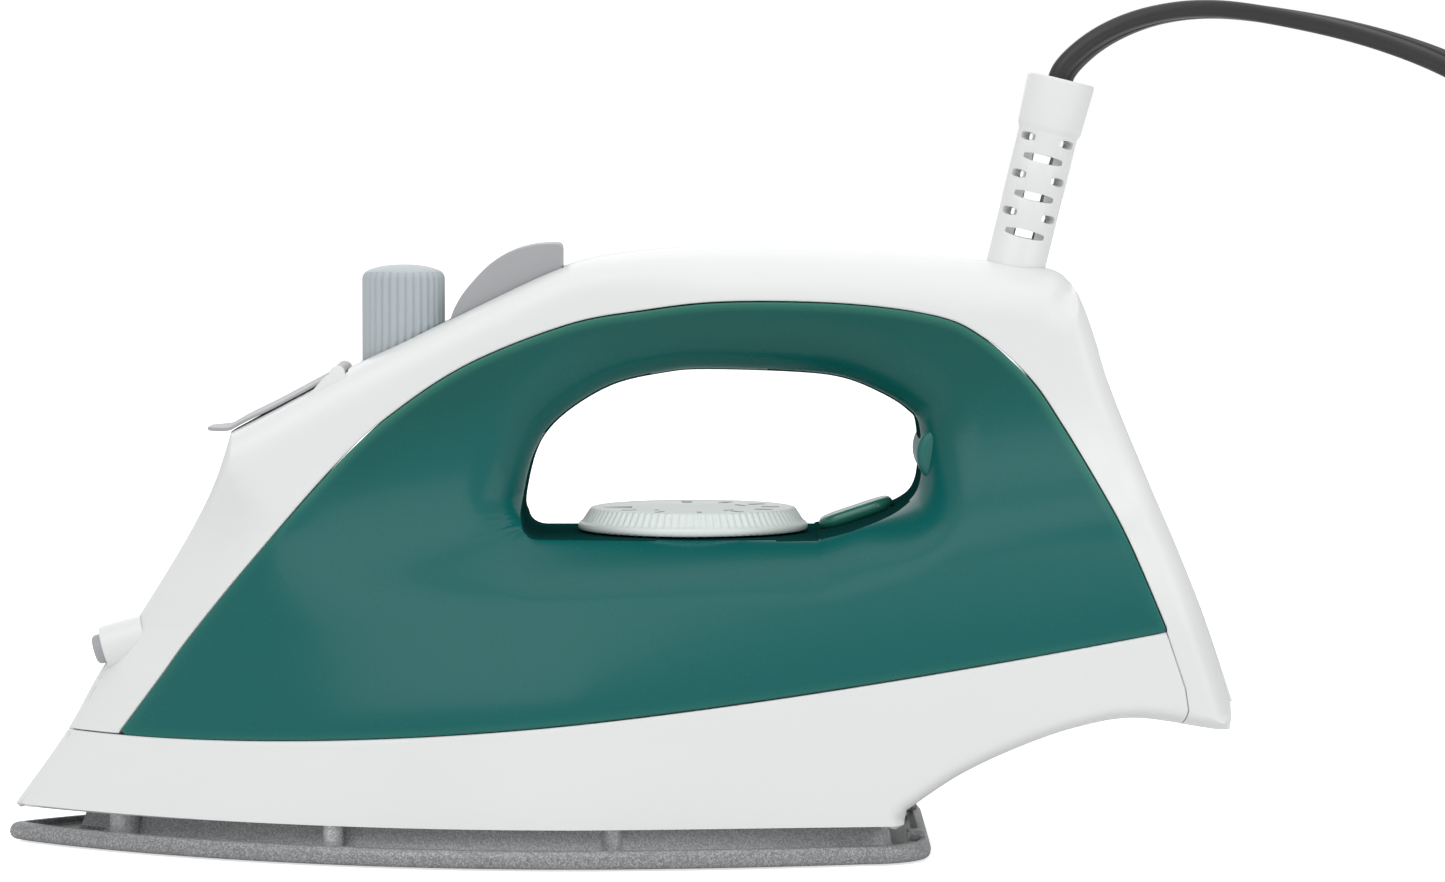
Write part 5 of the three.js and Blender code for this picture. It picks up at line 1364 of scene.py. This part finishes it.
@dataclass
class MainsLead:
    """The flat twin lead, from the guard to the plug, with its tie."""

    layout: Layout
    coil: Coil = field(default_factory=Coil)
    width: float = 6.6
    thickness: float = 3.8
    guard_length: float = 41.6
    bends: tuple[tuple[float, float, float], ...] = (
        (103, 0, 174.2), (110, 0, 178.6), (119.5, 0, 181.8), (131.3, 0, 182.9), (150.4, 0, 180.4), (168, 0, 176.2),
        (183, -0.6, 170.6), (197, -3, 162.6), (209, -8.4, 151), (218, -16, 134), (224.4, -24.4, 112), (228, -32, 87),
        (230.6, -37.6, 62), (235, -40.6, 41), (243.6, -41.6, 27), (254, -40.4, 21.4))
    tail: tuple[tuple[float, float, float], ...] = (
        (203.1, -12, 3.7), (201.6, -23, 4), (200.2, -28, 6.4), (199.5, -33, 9.6))
    plug_at: tuple[float, float, float] = (199.5, -34.0, 9.6)
    tie_turn: float = math.radians(50)

    def on_guard(self, along: float) -> tuple[float, float, float]:
        """Returns the place on the guard's axis at a distance from its base, in millimetres."""
        x, y, z = (c / MM for c in self.layout.guard_base)
        return (x + math.sin(self.layout.guard_lean) * along, y, z + math.cos(self.layout.guard_lean) * along)

    def path(self) -> np.ndarray:
        """Returns the lead's centreline in metres."""
        points = np.array([self.on_guard(self.guard_length - 3), self.on_guard(self.guard_length + 1.4), *self.bends])
        free = self._curve(points, 12)
        coil = self.coil.path(float(points[-1][2]))
        end = self._curve(np.vstack([coil[-1:], self.tail]), 6)
        return np.vstack([free, coil, end[1:], [(199.5, -34.4, 9.75)]]) * MM

    @staticmethod
    def _curve(points: np.ndarray, steps: int) -> np.ndarray:
        """Returns a centripetal curve through points, with a number of steps between each two."""
        ends = np.vstack([2 * points[0] - points[1], points, 2 * points[-1] - points[-2]])
        made = [points[:1]]
        for p in (ends[i:i + 4] for i in range(len(points) - 1)):
            knots = np.concatenate([[0], np.cumsum(np.linalg.norm(np.diff(p, axis=0), axis=1) ** 0.5)])
            t = np.linspace(knots[1], knots[2], steps + 1)[1:, None]
            low = [between(p[i], p[i + 1], knots[i], knots[i + 1], t) for i in range(3)]
            middle = [between(low[i], low[i + 1], knots[i], knots[i + 2], t) for i in range(2)]
            made.append(between(middle[0], middle[1], knots[1], knots[2], t))
        return np.vstack(made)

    def _section(self) -> np.ndarray:
        """Returns the section: a flat bar with round ends and a fine groove on both flat sides."""
        w, h = self.width / 2, self.thickness / 2
        across = np.concatenate([w * np.sin(np.linspace(math.pi / 2, 0.24, 9)), [0.62, 0.4, 0.2, 0]])
        across = np.concatenate([across, -across[-2::-1]])
        height = h * (1 - np.clip((np.abs(across) - (w - h)) / h, 0, 1) ** 2.3) ** (1 / 2.3)
        height -= 0.42 * np.exp(-((across / 0.26) ** 2))
        upper = np.stack([across, height], 1)
        return np.vstack([upper, upper[1:-1][::-1] * [1, -1]]) * MM

    def _frames(self, path: np.ndarray) -> tuple[np.ndarray, np.ndarray]:
        """Returns the width and the thickness direction at each point of the path."""
        along = np.gradient(path, axis=0)
        along /= np.linalg.norm(along, axis=1)[:, None]
        level = np.stack([along[:, 1], -along[:, 0], np.zeros(len(path))], 1)
        level /= np.linalg.norm(level, axis=1)[:, None]
        padded = np.vstack([np.repeat(level[:1], 12, 0), level, np.repeat(level[-1:], 12, 0)])
        level = np.stack([np.convolve(padded[:, k], np.ones(25) / 25, "valid") for k in range(3)], 1)
        level -= along * np.sum(level * along, axis=1)[:, None]
        level /= np.linalg.norm(level, axis=1)[:, None]
        third = np.cross(along, level)
        run = np.concatenate([[0], np.cumsum(np.linalg.norm(np.diff(path, axis=0), axis=1))])
        twist = np.radians(np.interp(run / MM, [0, 6, 30, 50, 80, 110, 150, 230], [-40, -36, -12, 0, 22, 52, 58, 0]))
        wide = level * np.cos(twist)[:, None] + third * np.sin(twist)[:, None]
        return wide, np.cross(along, wide)

    def build(self) -> None:
        """Builds and dresses the lead, its plug and its tie."""
        path = self.path()
        wide, thick = self._frames(path)
        section = self._section()
        rings = path[:, None] + wide[:, None] * section[None, :, :1] + thick[:, None] * section[None, :, 1:]
        lead = loft("mains_lead_surface", rings, 60)
        dress(lead, LEAD, Body.HOUSING, ["mains_lead", "lead_coil", "plug_lead"])
        plug, tie = self._plug(), self._tie()

    def _plug(self) -> bpy.types.Object:
        """Builds and dresses the plug with its ribbed strain relief."""
        shape = [(8.6, 7.2, 0), (9, 7.6, 0.4), (9.2, 7.8, 2), (8, 6.8, 2.3), (8, 6.8, 3.2), (9.4, 8, 3.5),
                 (9.6, 8.2, 5.2), (8.2, 7, 5.5), (8.2, 7, 6.4), (9.8, 8.4, 6.7), (10, 8.6, 9), (13.4, 10.4, 10.4),
                 (18.6, 13.4, 12.2), (21.4, 15.4, 14.4), (22.8, 16.6, 18), (23.7, 17.2, 23), (24, 17.4, 26.8),
                 (23.7, 17.2, 27.5), (22.9, 16.6, 28)]
        turn = np.linspace(0, 2 * math.pi, 64, endpoint=False)
        plug_x, plug_y, plug_z = self.plug_at
        rings = []
        for width, height, along in shape:
            x = width / 2 * np.sign(np.cos(turn)) * np.abs(np.cos(turn)) ** 0.55
            z = height / 2 * np.sign(np.sin(turn)) * np.abs(np.sin(turn)) ** 0.55
            rings.append(np.stack([plug_x + x, np.full(64, plug_y - along), plug_z + z], 1))
        plug = loft("plug_surface", np.array(rings) * MM, 30)
        dress(plug, LEAD, Body.HOUSING, ["plug_body"])
        return plug

    def _tie(self) -> bpy.types.Object:
        """Builds and dresses the strap around the coil."""
        rows = []
        for inset, side in ((0.0, -3.7), (0.0, 3.7), (0.25, 4.0), (0.75, 4.0), (0.8, -4.0), (0.25, -4.0)):
            half, low, high, round_off = 8.5 - inset, 0.2 + inset, 20.2 - inset, 2.2 - inset
            corner = np.linspace(0, math.pi / 2, 8)
            quarter = np.stack([half - round_off + round_off * np.cos(corner), round_off * np.sin(corner)], 1)
            upper = np.vstack([quarter, quarter[::-1] * [-1, 1]]) + [0, high - round_off]
            lower = np.vstack([quarter * [-1, -1], quarter[::-1] * [1, -1]]) + [0, low + round_off]
            loop = np.vstack([upper, lower])
            rows.append(np.stack([loop[:, 0], np.full(len(loop), side), loop[:, 1]], 1))
        rings = np.array(rows) * MM
        faces = ring_faces(len(rings), rings.shape[1], closed=True)
        strap = mesh_object("coil_tie_surface", rings.reshape(-1, 3), faces)
        x = self.coil.centre[0] + self.coil.radius * math.cos(self.tie_turn)
        y = self.coil.centre[1] + self.coil.radius * math.sin(self.tie_turn)
        strap = moved(strap, Matrix.Translation((x * MM, y * MM, 0)) @ Matrix.Rotation(self.tie_turn, 4, "Z"))
        dress(strap, RUBBER, Body.HOUSING, ["coil_tie"])
        return strap


# ---- inner works and studio ---------------------------------------------------------------------------


def dress_frame() -> None:
    """Gives each of the frame's own nodes that still shows the finish of its slot."""
    slots = {part["node"]: part["material_slot"] for part in frame["record"]["subparts"]}
    for name, node in frame["nodes"].items():
        node.data.materials.clear()
        node.data.materials.append(SLOT_FINISH[slots.get(name, "steel")].material())
        shade(node.data, 35)


@dataclass
class Studio:
    """The camera, the pale floor and the soft lights."""

    target: tuple[float, float, float] = (0.0235, 0.0, 0.0881)
    distance: float = 1.325
    height: float = 0.165
    lens: float = 150.2
    surround: float = 0.62
    floor_z: float = -0.4 * MM

    def camera(self) -> None:
        """Places the camera level with the iron's side."""
        data = bpy.data.cameras.new("camera")
        data.lens = self.lens
        data.sensor_width = 36
        eye = bpy.data.objects.new("camera", data)
        eye.location = (self.target[0], -self.distance, self.height)
        eye.rotation_euler = (Vector(self.target) - eye.location).to_track_quat("-Z", "Y").to_euler()
        bpy.context.scene.collection.objects.link(eye)
        bpy.context.scene.camera = eye

    def build(self) -> None:
        """Lays the floor and hangs the lights."""
        corners = np.array([[x, y, self.floor_z] for x, y in ((-6, -4), (6, -4), (6, 8), (-6, 8))])
        floor = mesh_object("floor", corners, [(0, 1, 2, 3)])
        surface = plastic("Pale floor", tone(244, 244, 244), tone(240, 240, 240), 0.7, 0.8)
        material = surface.material()
        shader = material.node_tree.nodes["Principled BSDF"]
        shader.inputs["Emission Strength"].default_value = 0.7
        seen = material.node_tree.nodes.new("ShaderNodeLightPath")
        material.node_tree.links.new(seen.outputs["Is Camera Ray"], shader.inputs["Emission Color"])
        floor.data.materials.append(material)
        world = bpy.data.worlds.new("studio")
        world.use_nodes = True
        nodes, links = world.node_tree.nodes, world.node_tree.links
        soft, behind, pick, rays = (nodes["Background"], nodes.new("ShaderNodeBackground"),
                                    nodes.new("ShaderNodeMixShader"), nodes.new("ShaderNodeLightPath"))
        soft.inputs[0].default_value = (1, 1, 1, 1)
        soft.inputs[1].default_value = self.surround
        behind.inputs[0].default_value = (1, 1, 1, 1)
        links.new(rays.outputs["Is Camera Ray"], pick.inputs[0])
        links.new(soft.outputs[0], pick.inputs[1])
        links.new(behind.outputs[0], pick.inputs[2])
        links.new(pick.outputs[0], nodes["World Output"].inputs["Surface"])
        bpy.context.scene.world = world
        bpy.context.scene.view_settings.view_transform = "Standard"
        for name, place, size, power in (("key", (-0.6, -1.2, 1.4), 1.6, 9), ("top", (0.2, 0.3, 1.6), 1.8, 7),
                                         ("fill", (1.3, -1.0, 0.7), 1.2, 4), ("rear", (-0.3, 1.4, 0.9), 1.2, 3)):
            self._light(name, place, size, power)

    def _light(self, name: str, place: tuple[float, float, float], size: float, power: float) -> None:
        """Hangs one soft light that faces the iron."""
        data = bpy.data.lights.new(name, "AREA")
        data.size = size
        data.energy = power
        lamp = bpy.data.objects.new(name, data)
        lamp.location = place
        lamp.rotation_euler = (Vector((0, 0, 0.08)) - lamp.location).to_track_quat("-Z", "Y").to_euler()
        bpy.context.scene.collection.objects.link(lamp)


def main() -> None:
    """Builds the whole iron in order."""
    logging.basicConfig(level=logging.INFO, format="%(message)s")
    studio = Studio()
    studio.camera()
    form = BodyForm()
    layout = Layout(form)
    dress_frame()
    MainsLead(layout).build()
    CordGuard(layout).build()
    Tank(form, layout).build()
    UpperShell(form, layout).build()
    Skirt(form, layout).build()
    for piece in (HeelPlate(layout), HandleCap(layout), SolePlate(), Dial(layout), SteamKnob(layout),
                  SprayButton(layout), FillLid(layout), SprayNozzle(layout), PilotLens(layout)):
        piece.build()
    studio.build()


if __name__ == "__main__":
    main()
